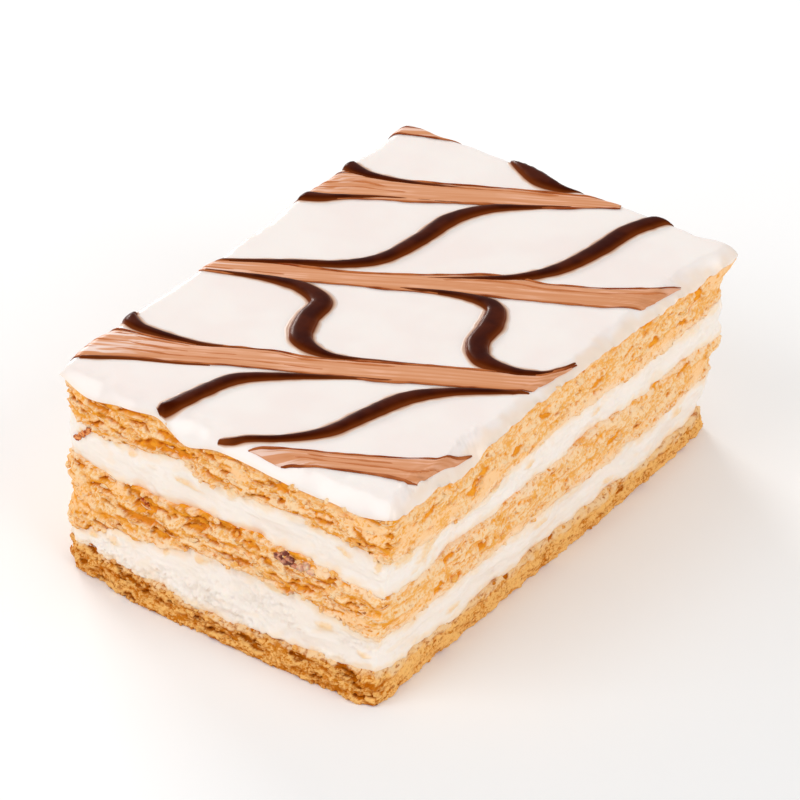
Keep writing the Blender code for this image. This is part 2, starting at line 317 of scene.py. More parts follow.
class Recipe:
    """A material and the nodes that mix its colour, gloss and fine bumps."""

    def __init__(self, name, **constants):
        self.material = bpy.data.materials.new(name)
        self.material.use_nodes = True
        self.nodes = self.material.node_tree.nodes
        self.shader = self.nodes["Principled BSDF"]
        for socket, value in constants.items():
            self.shader.inputs[socket.replace("_", " ")].default_value = value
        self.place = self.node("ShaderNodeTexCoord", {}, (), 3)

    def node(self, kind, settings, inputs, output=0):
        """Add one node, with its settings first and then its sockets."""
        made = self.nodes.new(kind)
        for setting, value in settings.items():
            setattr(made, setting, value)
        for socket, value in inputs.items() if isinstance(inputs, dict) else enumerate(inputs):
            self.feed(made.inputs[socket], value)
        return Wire(self, made.outputs[output])

    def feed(self, socket, value):
        if isinstance(value, Wire):
            self.material.node_tree.links.new(value.socket, socket)
        else:
            socket.default_value = value

    def mask(self, name):
        """A value that the mesh carries at each point."""
        return self.node("ShaderNodeAttribute", {"attribute_name": name}, (), 2)

    def stretched(self, size):
        """The place on the slice, counted in bumps of this size in mm along x, y and z."""
        scale = tuple(1 / (length * MM) for length in size)
        return self.node("ShaderNodeVectorMath", {"operation": "MULTIPLY"}, (self.place, scale))

    def grain(self, size, detail=2.0):
        """Noise from 0 to 1 with bumps of this size."""
        inputs = {"Vector": self.stretched(size), "Scale": 1.0, "Detail": detail}
        return self.node("ShaderNodeTexNoise", {}, inputs)

    def cells(self, size, output):
        """Cells of this size: output 0 is the distance from a cell's middle, and 1 its own tone."""
        inputs = {"Vector": self.stretched(size), "Scale": 1.0}
        return self.node("ShaderNodeTexVoronoi", {}, inputs, output)

    def mix(self, share, first, second):
        """The first colour, with a share of the second."""
        return self.node("ShaderNodeMix", {"data_type": "RGBA"}, {0: share, 6: first, 7: second}, 2)

    def finish(self, colour=None, roughness=None, height=None, bump=0.1, strength=0.5):
        """Plug the colour, the roughness and the bump's height, in mm, into the shader."""
        if colour:
            self.feed(self.shader.inputs["Base Color"], colour)
        if roughness:
            self.feed(self.shader.inputs["Roughness"], roughness)
        if height:
            inputs = {"Height": height, "Distance": bump * MM, "Strength": strength}
            self.feed(self.shader.inputs["Normal"], self.node("ShaderNodeBump", {}, inputs))
        return self.material


def paint(red, green, blue):
    """A screen colour of 0 to 255 as the linear colour that a shader wants."""
    linear = [((c / 255 + 0.055) / 1.055) ** 2.4 if c > 10 else c / 255 / 12.92 for c in (red, green, blue)]
    return (*linear, 1.0)


print("the screen's middle grey is", round(paint(128, 128, 128)[0], 3), "to a shader")

# %% [markdown]
# ## The pastry's material
# Puff pastry is pale and granular where its leaves are cut. The clear orange in the smooth hollows
# between them is painted light and shade: light travels through the buttery leaves, and little
# reaches inside. The mesh says how hollow each point is, with painted shade added where it lies deep
# or faces down. It also says where the painted shadow under the roof of a hollow lies, and how high
# the crumb stands, with a painted highlight where it stands out or faces up. It says how brown it was
# baked, where the knife dragged it smooth and where cream stuck to it. The material turns that into
# colour. Cells and noise add crumb, and small amber pits of painted shade that are finer than the
# mesh. It has no gloss of its own: a shine on so rough a surface would only make it grey.

# %% Mix the pastry
def pastry_material(name, low, high, hollow, deep_shade, brown, stuck, dragged):
    """Pastry in seven paints: low and high crumb, high also used as painted highlight; hollow, for painted
    light and shade; a darker painted shade under the roofs of hollows; browned, with cream, and dragged.
    """
    mixed = Recipe(name, Roughness=0.8, Specular_IOR_Level=0.0)
    sand, dust = mixed.cells((0.55, 0.55, 0.4), 1), mixed.grain((0.35, 0.35, 0.28), 3.0)
    patch, amber = mixed.grain((7, 7, 3), 1.0), mixed.grain((2.2, 2.2, 0.6), 3.0)
    # Inside a hollow the colour is painted light and shade, orange with darker patches.
    inside = mixed.mix(amber.step(0.4, 0.7) * 0.5, hollow, deep_shade)
    tone = mixed.mask("crumb") * 0.9 + (sand - 0.5) * 0.5 + (dust - 0.5) * 1.4 + (patch - 0.5) * 1.3
    colour = mixed.mix(tone.step(-0.1, 0.9), low, high)
    colour = mixed.mix(mixed.mask("browned") * 0.7, colour, brown)
    sunk_shade, smooth = mixed.mask("hollow"), mixed.mask("dragged")
    colour = mixed.mix(smooth * tone.step(-0.1, 0.4) * 0.85, colour, dragged)
    colour = mixed.mix(mixed.mask("creamy") * tone.step(-0.5, 0.4) * 0.9, colour, stuck)
    rough = (1 - smooth * 0.8) * (1 - sunk_shade * 0.6)
    # Small amber pits finer than the mesh are painted shade, with no dent in the mesh.
    holes = (mixed.cells((2.2, 2.2, 1.3), 0) + (dust - 0.5) * 0.5).step(0.34, 0.18)
    pit_shade = holes * amber.step(0.44, 0.56) * rough
    colour = mixed.mix(pit_shade * 0.7, colour, inside)
    # Painted shade in the hollow colour wherever the hollow mask, real hollows and painted shade, is high.
    colour = mixed.mix((sunk_shade + (dust - 0.5) * 0.5).step(0.15, 0.8), colour, inside)
    # Painted shadow under the roof of each hollow.
    colour = mixed.mix(mixed.mask("roof_shade") * 0.85, colour, deep_shade)
    bumps = (dust * 1.2 - mixed.cells((0.6, 0.6, 0.45), 0) * 0.6) * rough
    return mixed.finish(colour, None, bumps, 0.22, 0.6)


# The third and fourth paints are painted light and shade for hollows and their roofs, and the second is also
# the painted highlight on proud crumb.
golden = pastry_material(
    "golden_pastry", paint(246, 178, 88), paint(255, 220, 174), paint(246, 164, 50), paint(204, 104, 14),
    paint(248, 174, 84), paint(254, 222, 186), paint(254, 206, 152),
)
baked = pastry_material(
    "baked_pastry", paint(208, 124, 30), paint(250, 194, 116), paint(194, 104, 12), paint(120, 48, 6),
    paint(206, 128, 46), paint(246, 210, 164), paint(236, 180, 118),
)
print("mixed", golden.name, "and", baked.name)

# %% [markdown]
# ## The places that the eye knows
# Most of the cut is chance, but the largest hollows in the dough and the widest smears of the knife
# give the slice its own face. Each is a tilted oval on the front or the right side. They could be
# cut into the mesh one by one. Here they become masks with ragged edges, which the relief and the
# material both read, so that shape and colour stay together.

# %% Hollows and smears
# Large hollows: place along the side, height, half length, half height and tilt in degrees.
HOLLOWS = {
    "pastry_top": {
        "front": (
            (-29.0, 37.4, 2.2, 0.5, -8), (-20.8, 39.0, 2.6, 0.5, 4), (-19.7, 37.2, 1.6, 0.4, 0),
            (-17.5, 33.7, 2.6, 0.6, 6), (-11.9, 37.0, 2.9, 0.65, 0), (-11.3, 34.2, 3.2, 0.8, -8),
            (-3.4, 36.6, 2.2, 0.4, -5), (12.6, 36.5, 2.6, 1.1, 0), (13.3, 33.7, 0.9, 0.5, 0),
            (19.4, 38.0, 1.3, 0.35, 0), (22.0, 33.6, 1.4, 0.4, 10), (30.8, 33.8, 2.4, 0.5, -30),
        ),
        "right": (
            (-48.8, 33.4, 0.9, 1.2, 0), (-40.0, 35.0, 1.6, 0.6, 30), (-25.9, 31.6, 2.5, 1.8, 20),
            (-24.3, 34.4, 1.4, 1.0, 0), (-14.6, 33.3, 2.2, 0.6, 0), (-6.0, 36.0, 1.4, 0.6, -20),
            (10.0, 34.2, 2.4, 0.7, 10), (20.0, 35.6, 1.6, 0.6, 20), (26.7, 38.6, 1.7, 1.2, 0),
            (29.0, 33.0, 1.5, 0.9, 0), (38.5, 33.0, 1.3, 0.7, 0), (42.4, 35.6, 2.4, 0.5, 40),
            (43.3, 37.4, 1.2, 1.5, 0),
        ),
    },
    "pastry_middle": {
        "front": (
            (-28.0, 20.0, 3.0, 0.6, 4), (-17.6, 20.9, 1.6, 0.7, -15), (-18.0, 18.5, 4.5, 0.9, 0),
            (-11.6, 17.0, 0.9, 1.2, 0), (-5.0, 22.2, 2.9, 0.7, 0), (3.5, 23.2, 1.1, 0.7, 0),
            (5.5, 18.5, 2.8, 0.6, 4), (7.5, 22.1, 1.8, 0.5, -8), (22.0, 20.0, 1.6, 0.4, 0),
            (30.5, 18.0, 2.6, 0.5, 8),
        ),
        "right": (
            (-35.8, 16.2, 1.7, 1.1, 0), (-33.0, 21.2, 1.4, 0.6, 0), (-29.5, 15.5, 0.8, 0.7, 0),
            (-22.8, 17.6, 1.4, 0.8, 20), (-20.5, 22.9, 0.7, 0.6, 0), (2.0, 19.0, 1.4, 0.5, 0),
            (18.0, 18.4, 1.8, 0.6, 10), (31.8, 22.1, 1.2, 0.9, 0), (36.0, 16.9, 0.6, 0.5, 0),
            (41.0, 20.4, 2.0, 0.5, 25),
        ),
    },
    "pastry_bottom": {
        "front": (
            (-32.0, 2.6, 1.2, 0.5, 0), (-29.7, 5.6, 1.5, 0.4, -8), (-20.0, 4.6, 2.6, 0.5, -6),
            (-15.3, 3.6, 0.8, 0.6, 0), (-11.8, 3.0, 0.6, 0.5, 0), (-3.0, 3.0, 1.2, 0.5, 0),
            (8.6, 3.0, 2.2, 0.6, -4), (20.0, 4.0, 2.0, 0.5, 4),
        ),
        "right": ((-13.9, 5.2, 0.7, 0.8, 0), (-0.2, 5.4, 0.7, 0.6, 0), (22.0, 3.6, 1.2, 0.5, 0)),
    },
}
# Places that the knife dragged smooth, given in the same way.
DRAGGED = {
    "pastry_top": {
        "front": ((31.0, 36.0, 5.5, 1.9, -12), (-34.6, 37.6, 2.4, 1.6, -20), (3.0, 35.6, 3.0, 0.9, 0)),
        "right": (
            (-47.0, 33.0, 3.5, 3.0, 30), (-37.5, 31.0, 6.5, 2.0, 6), (-22.5, 31.0, 5.5, 2.2, 10),
            (-11.0, 30.8, 5.0, 1.4, 0), (3.0, 31.0, 6.0, 1.1, 0), (18.0, 31.2, 7.0, 1.2, 0),
            (33.0, 31.4, 6.0, 1.3, 0), (50.0, 37.0, 4.0, 2.5, 0),
        ),
    },
    "pastry_middle": {
        "front": (
            (-34.6, 15.6, 4.6, 4.2, 0), (31.0, 16.0, 5.6, 1.8, -8), (12.0, 17.6, 4.0, 0.9, -6),
            (-24.0, 22.4, 3.0, 1.4, -20),
        ),
        "right": (
            (-42.0, 15.2, 6.0, 1.4, 0), (-14.0, 15.0, 5.0, 1.1, 0), (12.0, 15.0, 7.0, 1.1, 0),
            (46.0, 17.0, 4.0, 2.0, 0),
        ),
    },
}


def spots(points, way, places, soft=0.45):
    """1 inside the hollows or smears of a side, with ragged edges, more or less soft, and 0 outside."""
    mask = np.zeros(len(points))
    for side, number, axis in (("front", 0, 0), ("right", 1, 1)):
        for along, height, half_length, half_height, tilt in places.get(side, ()):
            a, h = points[:, axis] - along, points[:, 2] - height
            close = (np.abs(a) < half_length + 3) & (np.abs(h) < 6)
            near = np.flatnonzero((way.astype(int) == number) & close)
            turn = math.radians(tilt)
            a, h = a[near], h[near]
            far = np.hypot((a * math.cos(turn) + h * math.sin(turn)) / half_length,
                           (h * math.cos(turn) - a * math.sin(turn)) / half_height)
            far = far + 0.45 * wobble(points[near], (1.6, 1.6, 0.7), along, 2)
            mask[near] = np.maximum(mask[near], step(0.98 + soft / 2, 0.98 - soft / 2, far))
    return mask


for kind, table in (("hollows", HOLLOWS), ("smears", DRAGGED)):
    print("placed by hand:", sum(len(marks) for node in table.values() for marks in node.values()), kind)

# %% [markdown]
# ## Crags and hollows
# The plain model's crags come first, from the same noise, so that the fine relief follows the plain
# one. The dough puffed up in bubbles: where the knife tore it, on the front and the left side, they
# are long and flat; where it cut clean, on the right side and the back, they are small and round.
# Where the bubbles crowd together is left to a slow noise.

# %% Crags and bubbles
# Length and height of the crags and swells, and how far they stand out, in mm.
CRAG, SMALL_CRAG = (6.5, 1.9, 2.0), (5.0, 1.9, 1.2)
SWELL, LIP_SWELL = (11.0, 5.0, 1.2), (14.0, 9.0, 0.6)


def crags(points, seed, size):
    """The plain model's relief: a coarse noise and half as much of a finer one."""
    length, height, depth = size
    shifted = points + np.array((0.0, 0.0, seed * height))
    coarse = [noise.noise(place) for place in (shifted / np.array((length, length, height))).tolist()]
    finer = points * np.array((2.3, 2.3, 1.7)) + np.array((0.0, 0.0, (seed + 31) * height))
    fine = [noise.noise(place) for place in (finer / np.array((length, length, height))).tolist()]
    return depth * (np.array(coarse) + 0.5 * np.array(fine))


def clean_cut(way):
    """1 on the right side and the back, which were cut clean, and 0 where the knife tore."""
    return step(0.98, 1.04, way) * (1 - step(2.97, 3.03, way))


def on_right(way):
    """1 on the right side, where the knife dragged the icing, and 0 elsewhere."""
    return step(0.97, 1.03, way) * step(2.03, 1.97, way)


def raised(points, lift):
    """The points, moved up by a number or by an array of numbers."""
    still = np.zeros(len(points))
    return points + np.column_stack((still, still, still + lift))


def hollows(points, way, seed, places, dense):
    """How hollow the dough is: long hollows where it was torn, and small round ones where cut clean."""
    clean = clean_cut(way)
    long_bubbles = wobble(points, (4.4, 4.4, 1.1), seed + 3, 2)
    short_bubbles = wobble(points, (1.3, 1.3, 0.8), seed + 4, 2)
    crowd = wobble(points, (12, 12, 4), seed + 2)
    edge = 0.38 - 0.3 * crowd + 0.1 * dense
    hollow = (1 - clean) * step(edge, edge + 0.14, long_bubbles)
    hollow += clean * step(edge + 0.22, edge + 0.4, short_bubbles)
    return np.maximum(hollow, spots(points, way, places))


print("the crags of the middle and top sheets stand out", CRAG[2], "mm, of the bottom one", SMALL_CRAG[2])

# %% [markdown]
# ## Relief of the cut pastry
# On the crags lie the leaves, which stand out by different amounts and have broken seams between
# them, then pores, lumps and the grains of the crumb. The leaves are wavy, so most of the noise is
# read at heights that a slow wave has moved. Hollows sink in, and what the knife dragged is
# flattened. The same values are kept as masks for the material.

# %% Pastry relief
LEAF = 1.1  # mm, thickness of one leaf of pastry
ROOF = 0.4  # mm, height of the shaded band under the roof of a hollow


def pastry_relief(points, way, seed, size, node, dense=0.0):
    """How far each point of a cut sheet stands out, in mm, and what its surface is like."""
    clean = clean_cut(way)
    wave = 1.1 * wobble(points, (9, 9, 12), seed + 1) + 0.35 * wobble(points, (2.4, 2.4, 2.4), seed + 10, 3)
    wave += 0.22 * wobble(points, (0.8, 0.8, 0.8), seed + 15, 2)
    layered = raised(points, wave)
    dragged = spots(points, way, DRAGGED.get(node, {}))
    hollow = hollows(layered, way, seed, HOLLOWS[node], dense) * (1 - 0.7 * dragged)
    # The band just under a hollow's top edge gets painted shadow, and sinks a little further.
    roof_shade = hollow * (1 - hollows(raised(layered, ROOF), way, seed, HOLLOWS[node], dense))
    dragged = dragged * (1 - 0.6 * hollow)
    coarse = step(-0.25, 0.25, wobble(points, (8, 8, 4), seed + 12))  # where the crumb is coarse
    pores = step(0.22, 0.5, wobble(layered, (0.75, 0.75, 0.6), seed + 5, 2)) * (0.35 + 0.65 * coarse)
    leaf = np.floor(layered[:, 2] / LEAF)
    spread = np.column_stack((points[:, 0], points[:, 1], leaf * 7.7))
    stand = wobble(spread, (3.4, 3.4, 1.0), seed + 6)
    torn_open = step(-0.1, 0.2, wobble(spread, (2.8, 2.8, 1.0), seed + 9))
    seam = step(0.32, 0.5, np.abs(layered[:, 2] / LEAF - leaf - 0.5)) * torn_open
    grains = wobble(points, (0.55, 0.55, 0.45), seed + 7, 2)
    lumps = wobble(points, (2.2, 2.2, 1.4), seed + 13, 3)
    # The thin broken edges of leaves.
    shards = 1 - np.abs(wobble(layered, (2.0, 2.0, 0.65), seed + 14, 2)) * 3
    solid, leafy = 1 - hollow, (1 - clean) * (1 - 0.7 * dense)
    out = (0.44 - 0.12 * clean) * crags(points, seed, size) + (0.2 + 0.14 * dense + 0.12 * clean) * lumps
    out += leafy * (0.16 * stand - 0.1 * seam + 0.12 * np.clip(shards, 0, 1))
    out += solid * ((0.17 + 0.08 * dense) * grains - (0.14 - 0.07 * clean) * pores)
    out -= (0.85 - 0.4 * clean) * (hollow + 0.4 * roof_shade) * (1 - 0.4 * dense)
    out = out * (1 - 0.6 * dragged) - 0.1 * dragged
    crumb = np.clip(0.45 + 0.6 * grains + 0.3 * leafy * stand + 0.5 * lumps - 0.4 * pores, 0, 1)
    # Pores and split seams are coloured like hollows: painted shade.
    sunk_shade = np.clip(hollow + solid * ((0.6 - 0.3 * dense * clean) * pores + 0.3 * seam * leafy), 0, 1)
    return out, {"hollow": sunk_shade, "roof_shade": roof_shade * (1 - 0.5 * clean), "crumb": crumb, "dragged": dragged}


print("one leaf of the pastry is", LEAF, "mm thick")

# %% [markdown]
# ## Painted shade and highlight that follow the shape
# In a real cut, light rarely reaches what lies deep or faces the floor, so it looks browner there,
# and the crumb that stands out is pale. Here that shade and light are painted. The relief is compared
# with a blurred copy of itself: what lies lower than its surroundings, faces down or lies just under
# an overhang gets painted shade in the hollow colour, and what lies higher or faces up gets a painted
# highlight in the pale crumb colour. Both are added to the masks of the mesh, so the colours stay
# where they are from whatever side the slice is seen.

# %% Painted shade in cavities and painted highlight on proud crumb
def blurred(values, reach):
    """Values on the rows and columns of a skin, averaged over their neighbours."""
    rows, across = reach
    spread = np.pad(values, ((rows, rows), (0, 0)), mode="edge")
    spread = sum(spread[row:row + len(values)] for row in range(2 * rows + 1)) / (2 * rows + 1)
    return sum(np.roll(spread, shift, axis=1) for shift in range(-across, across + 1)) / (2 * across + 1)


def with_painted_shade(stand, z, clean, masks):
    """Paint shade in the hollow colour where the surface lies low, faces down or hangs under an overhang, and
    paint a highlight in the crumb colour where it stands out or faces up.
    """
    near = stand - blurred(stand, (3, 4))
    wide = stand - blurred(stand, (8, 12))
    overhang = np.gradient(stand, axis=0) / np.maximum(np.gradient(z, axis=0), 0.05)
    # Faces that lean out going up, and the rows just below them, get painted shadow.
    shaded = np.clip(blurred(step(0.05, 0.9, overhang), (2, 2)) * 1.7, 0, 1) * (1 - 0.35 * clean)
    sunk_shade = np.clip(-near * (2.0 - 0.6 * clean) - 0.1, 0, 0.8)
    sunk_shade += (1 - 0.7 * clean) * np.clip(-wide * 0.9 - 0.14, 0, 0.8)
    # What stands out or faces up gets a painted highlight.
    proud_lit = (np.clip(near * 1.6, 0, 0.35) + 0.25 * step(0.1, 1.2, -overhang)) * (1 - shaded)
    # The hollow mask now holds real hollows and painted shade.
    hollow = np.clip(masks["hollow"] + sunk_shade.ravel(), 0, 1) * (1 - 0.8 * proud_lit.ravel())
    masks["hollow"] = np.maximum(hollow, 0.9 * shaded.ravel())
    # The crumb mask holds the crumb's own tone and the painted highlight.
    masks["crumb"] = np.clip(masks["crumb"] + proud_lit.ravel() - 0.4 * sunk_shade.ravel(), 0, 1)
    return masks


print("a blurred even surface stays even:", bool(np.allclose(blurred(np.ones((30, 30)), (3, 4)), 1)))

# %% [markdown]
# ## Where a layer lies at every place
# A layer's skin needs the height of its two boundaries, at the side and further in, the small waves
# that the plain model leaves out, and the bulges and dents that the knife and the cake's own weight
# made. Each bulge is a soft bump round a place on the outline.

# %% Heights, small waves and bulges
def heights(name, way, reach=1.0):
    """Height of a boundary: the ring's own line at the side, level inside the slice."""
    if name == "floor":
        return np.zeros_like(way)
    at_side = round_the_slice(BOUNDARIES[name], way)
    inside = np.mean([np.mean(side) for side in BOUNDARIES[name]])
    fade = np.clip((reach - FLAT_CORE) / (1 - FLAT_CORE), 0.0, 1.1)
    return inside + (at_side - inside) * fade


def uneven(name, way, place):
    """Small waves of a boundary that the plain model leaves out."""
    if name == "floor":
        return np.zeros_like(way)
    points = np.column_stack((place * HALF, np.zeros(len(way))))
    seed = 5.0 * list(BOUNDARIES).index(name) + 3
    if name == "sheet_3_top":
        ragged = on_right(way) * 0.8 * wobble(points, (2.6, 2.6, 2.6), seed + 1, 2)
        return 0.3 * wobble(points, (5, 5, 5), seed) + ragged
    return 0.7 * wobble(points, (4.5, 4.5, 4.5), seed) + 0.35 * wobble(points, (1.7, 1.7, 1.7), seed + 1)


# Where the slice bulges or is dented: the place, the reach along and up, and how far out, in mm.
BULGES = (
    ((LEFT, FRONT, 1.0), 10.0, 11.0, 1.4), ((LEFT, FRONT, 10.0), 8.0, 8.0, 1.3),
    ((LEFT, FRONT, 20.0), 6.0, 4.5, 1.3), ((LEFT, FRONT, 35.5), 6.0, 4.5, -0.8),
    ((LEFT, -25.0, 41.0), 36.0, 9.0, 0.9), ((LEFT, -43.0, 41.0), 9.0, 6.0, 0.6),
    ((RIGHT, FRONT, 0.0), 9.0, 8.0, 2.0), ((RIGHT, BACK, 39.5), 9.0, 6.5, 2.4),
    ((RIGHT, BACK, 28.0), 7.0, 5.0, 1.2), ((RIGHT, BACK, 21.5), 8.0, 6.0, 1.9),
    ((RIGHT, BACK, 13.0), 6.0, 4.0, 0.9), ((RIGHT, BACK, 5.7), 5.0, 3.0, -1.2),
    ((RIGHT, BACK, 0.5), 7.0, 3.5, 1.1), ((LEFT, BACK, 41.0), 9.0, 12.0, 1.4),
    ((2.0, BACK, 41.0), 13.0, 9.0, -1.0), ((-20.0, BACK, 41.0), 14.0, 9.0, 0.6),
    ((LEFT, 16.0, 41.0), 22.0, 9.0, 0.8),
)


def bulges(points):
    """How far the slice stands out at each point for its bulges and dents."""
    out = np.zeros(len(points))
    for (x, y, z), along, up, push in BULGES:
        far = np.hypot(np.hypot(points[:, 0] - x, points[:, 1] - y) / along, (points[:, 2] - z) / up)
        out += push * step(1.0, 0.0, far)
    return out


corner_bulge = bulges(np.array([(LEFT, FRONT, 5.0)]))
print("the left front corner's foot bulges by", round(float(corner_bulge[0]), 1), "mm")

# %% [markdown]
# ## The skin of one layer
# The rows of a layer's side are spread between its two boundaries, and the relief moves their
# points out or in. From the first and the last row a few more rows lead inside, where the layer
# lies against its neighbours; a soft layer is tucked a little under them, so that no gap opens. At
# the end the whole skin leans and swells as the slice does.

# %% Layer skin
INWARD = np.array((0.35, 0.9, 1.8, 3.5, 7.0))  # mm from the side at which the hidden rows lie
RELIEF_FADE = 5.0  # mm from the side at which the relief has died away


def layer_skin(lower, upper, side_rows, ring, relief, tuck=0.0, worn=0.0):
    """Points, faces and masks of a layer. Tuck reaches under the neighbours; worn rounds the edges."""
    way, place, out = ring
    rows = side_rows
    share = np.linspace(0.0, 1.0, rows + 1)
    low = heights(lower, way) + uneven(lower, way, place) - (tuck if lower != "floor" else 0.0)
    high = heights(upper, way) + uneven(upper, way, place) + tuck
    z = low + (high - low) * share[:, None]
    base = CENTRE + HALF * place
    x, y = np.broadcast_to(base[:, 0], z.shape), np.broadcast_to(base[:, 1], z.shape)
    flat = np.column_stack((x.ravel(), y.ravel(), z.ravel()))
    stand, masks = relief(flat, np.broadcast_to(way, z.shape).ravel(), low, high, share)
    # The relief adds painted shade and a painted highlight to the masks.
    if "crumb" in masks:
        masks = with_painted_shade(stand.reshape(z.shape), z, clean_cut(way), masks)
    stand = (stand + bulges(flat)).reshape(z.shape) - worn * np.abs(2 * share[:, None] - 1) ** 8
    grid = [(x + out[:, 0] * stand, y + out[:, 1] * stand, z)]
    for edge, name, shift in ((0, lower, -tuck), (-1, upper, tuck)):
        inner = []
        for inset in INWARD:
            keep = max(0.0, 1 - inset / RELIEF_FADE)
            spot = CENTRE + HALF * place * ((HALF - inset) / HALF)
            spot = spot + out * (stand[edge] * keep)[:, None]
            level = heights(name, way, 1 - inset / HALF_Y) + uneven(name, way, place) * keep
            level = level + (0.0 if name == "floor" else shift)
            inner.append((spot[:, 0], spot[:, 1], level))
        inner = inner[::-1] if edge == 0 else inner
        stacked = tuple(np.array([row[axis] for row in inner]) for axis in range(3))
        grid.insert(0 if edge == 0 else len(grid), stacked)
    x, y, z = (np.concatenate([part[axis] for part in grid]) for axis in range(3))
    x, y = lean(x, y, z)
    points = np.column_stack((x.ravel(), y.ravel(), z.ravel()))
    middle = [(CENTRE_X, CENTRE_Y, z[0].mean()), (CENTRE_X, CENTRE_Y, z[-1].mean())]
    spread = {}
    for name, values in masks.items():
        values = values.reshape(len(share), -1)
        inward = [values[0]] * len(INWARD) + list(values) + [values[-1]] * len(INWARD)
        spread[name] = np.concatenate((np.array(inward).ravel(), (0.0, 0.0)))
    return into_box(np.concatenate((points, middle))), skin_faces(len(x), len(way)), spread


def to_edges(low, high, share):
    """How far, in mm, the points lie under the upper edge of their layer and above its lower edge."""
    above = (high - low) * share[:, None]
    return (high - (low + above)).ravel(), above.ravel()


SIDES = {}  # the cut side of every layer, to hang crumbs on: points on rows and columns, outward, way


def keep_side(name, points, ring):
    """Remember the points of a skin's cut side in mm, without the rows that lead inside."""
    way, _, out = ring
    hidden = len(INWARD) * len(way)
    side = points[hidden:len(points) - hidden - 2] / MM + np.array((MIDDLE_X, MIDDLE_Y, 0.0))
    outward = np.column_stack((out, np.zeros(len(way))))
    SIDES[name] = (side.reshape(-1, len(way), 3), outward, way)


print("the hidden rows reach", INWARD[-1], "mm inside")

# %% [markdown]
# ## The three sheets
# All sheets are made the same way, with a seed of their own. The browned upper leaf of each sheet
# and the cream that stuck along its edges are masks for the material. The bottom sheet was pressed
# by the weight above it, so it is denser, with smaller crags and hollows.

# %% Sheets of pastry
def pastry(name, node, lower, upper, side_rows, seed, size, own_material, slot, dense=0.0, pale=0.0):
    """One sheet of pastry, all round the slice; where it was cut clean it can be paler."""
    ring = columns()

    def relief(points, way, low, high, share):
        stand, masks = pastry_relief(points, way, seed, size, node, dense)
        under, above = to_edges(low, high, share)
        ragged = wobble(points, (2.2, 2.2, 1.2), seed + 8, 2)
        wide = 1 + 0.7 * clean_cut(way)
        creamy = np.zeros_like(under)
        if upper != "sheet_3_top":
            creamy = np.maximum(creamy, step(1.3, 0.0, under / wide + 0.9 * ragged))
        if lower != "floor":
            creamy = np.maximum(creamy, step(1.6, 0.0, above / wide + 1.0 * ragged))
        browned = step(1.7, 0.5, under + 0.8 * ragged) * (0.9 if upper == "sheet_3_top" else 0.3)
        browned = browned * (1 - 0.6 * clean_cut(way))
        masks["crumb"] = np.clip(masks["crumb"] + pale * clean_cut(way), 0, 1)
        return stand, {**masks, "browned": browned, "creamy": creamy}

    points, faces, masks = layer_skin(lower, upper, side_rows, ring, relief, worn=0.35)
    keep_side(name, points, ring)
    return add_piece(name, points, faces, own_material, slot, (node,), masks)


pastry(
    "bottom_sheet", "pastry_bottom", "floor", "sheet_1_top", side_rows=30, seed=3.0,
    size=SMALL_CRAG, own_material=baked, slot="baked_pastry", dense=0.6, pale=0.3,
)
pastry(
    "middle_sheet", "pastry_middle", "cream_1_top", "sheet_2_top", side_rows=44, seed=41.0,
    size=CRAG, own_material=golden, slot="golden_pastry",
)
pastry(
    "top_sheet", "pastry_top", "cream_2_top", "sheet_3_top", side_rows=42, seed=73.0,
    size=CRAG, own_material=golden, slot="golden_pastry",
)

# %% [markdown]
# ## The cream
# Whipped cream is matt and nearly white. It takes a peach colour along the pastry, a yellow smear
# where the knife dragged crumb over it, and a shadow of its own in each pit of its foam. A touch of
# subsurface scattering lets light into it, as fat and air do.

# %% Mix the cream
cream_recipe = Recipe(
    "cream", Roughness=0.5, Specular_IOR_Level=0.35, Subsurface_Weight=0.25, Subsurface_Scale=0.0012,
)
cream_recipe.shader.inputs["Subsurface Radius"].default_value = (1.0, 0.8, 0.6)
cream_colour = cream_recipe.mix(
    cream_recipe.grain((8, 8, 4)).step(0.35, 0.65), paint(252, 240, 230), paint(249, 236, 224),
)
cream_colour = cream_recipe.mix(cream_recipe.mask("peach") * 0.85, cream_colour, paint(254, 220, 180))
smeared = cream_recipe.mask("smear") * (cream_recipe.grain((0.7, 0.7, 0.5)) + 0.15)
cream_colour = cream_recipe.mix(smeared, cream_colour, paint(250, 204, 138))
cream_colour = cream_recipe.mix(cream_recipe.mask("pit") * 0.7, cream_colour, paint(206, 178, 150))
cream = cream_recipe.finish(cream_colour, None, cream_recipe.grain((0.8, 0.8, 0.5), 3.0), 0.14, 0.5)
print("mixed", cream.name)

# %% [markdown]
# ## The layers of cream
# Cream is soft, so its relief is slow swells with the fine lines of the knife on them, and foam
# where air was caught. It is made like a sheet, set a little further in than the pastry and tucked
# under it. The lower layer is rougher at its foot, where the knife pulled it down and to the right.

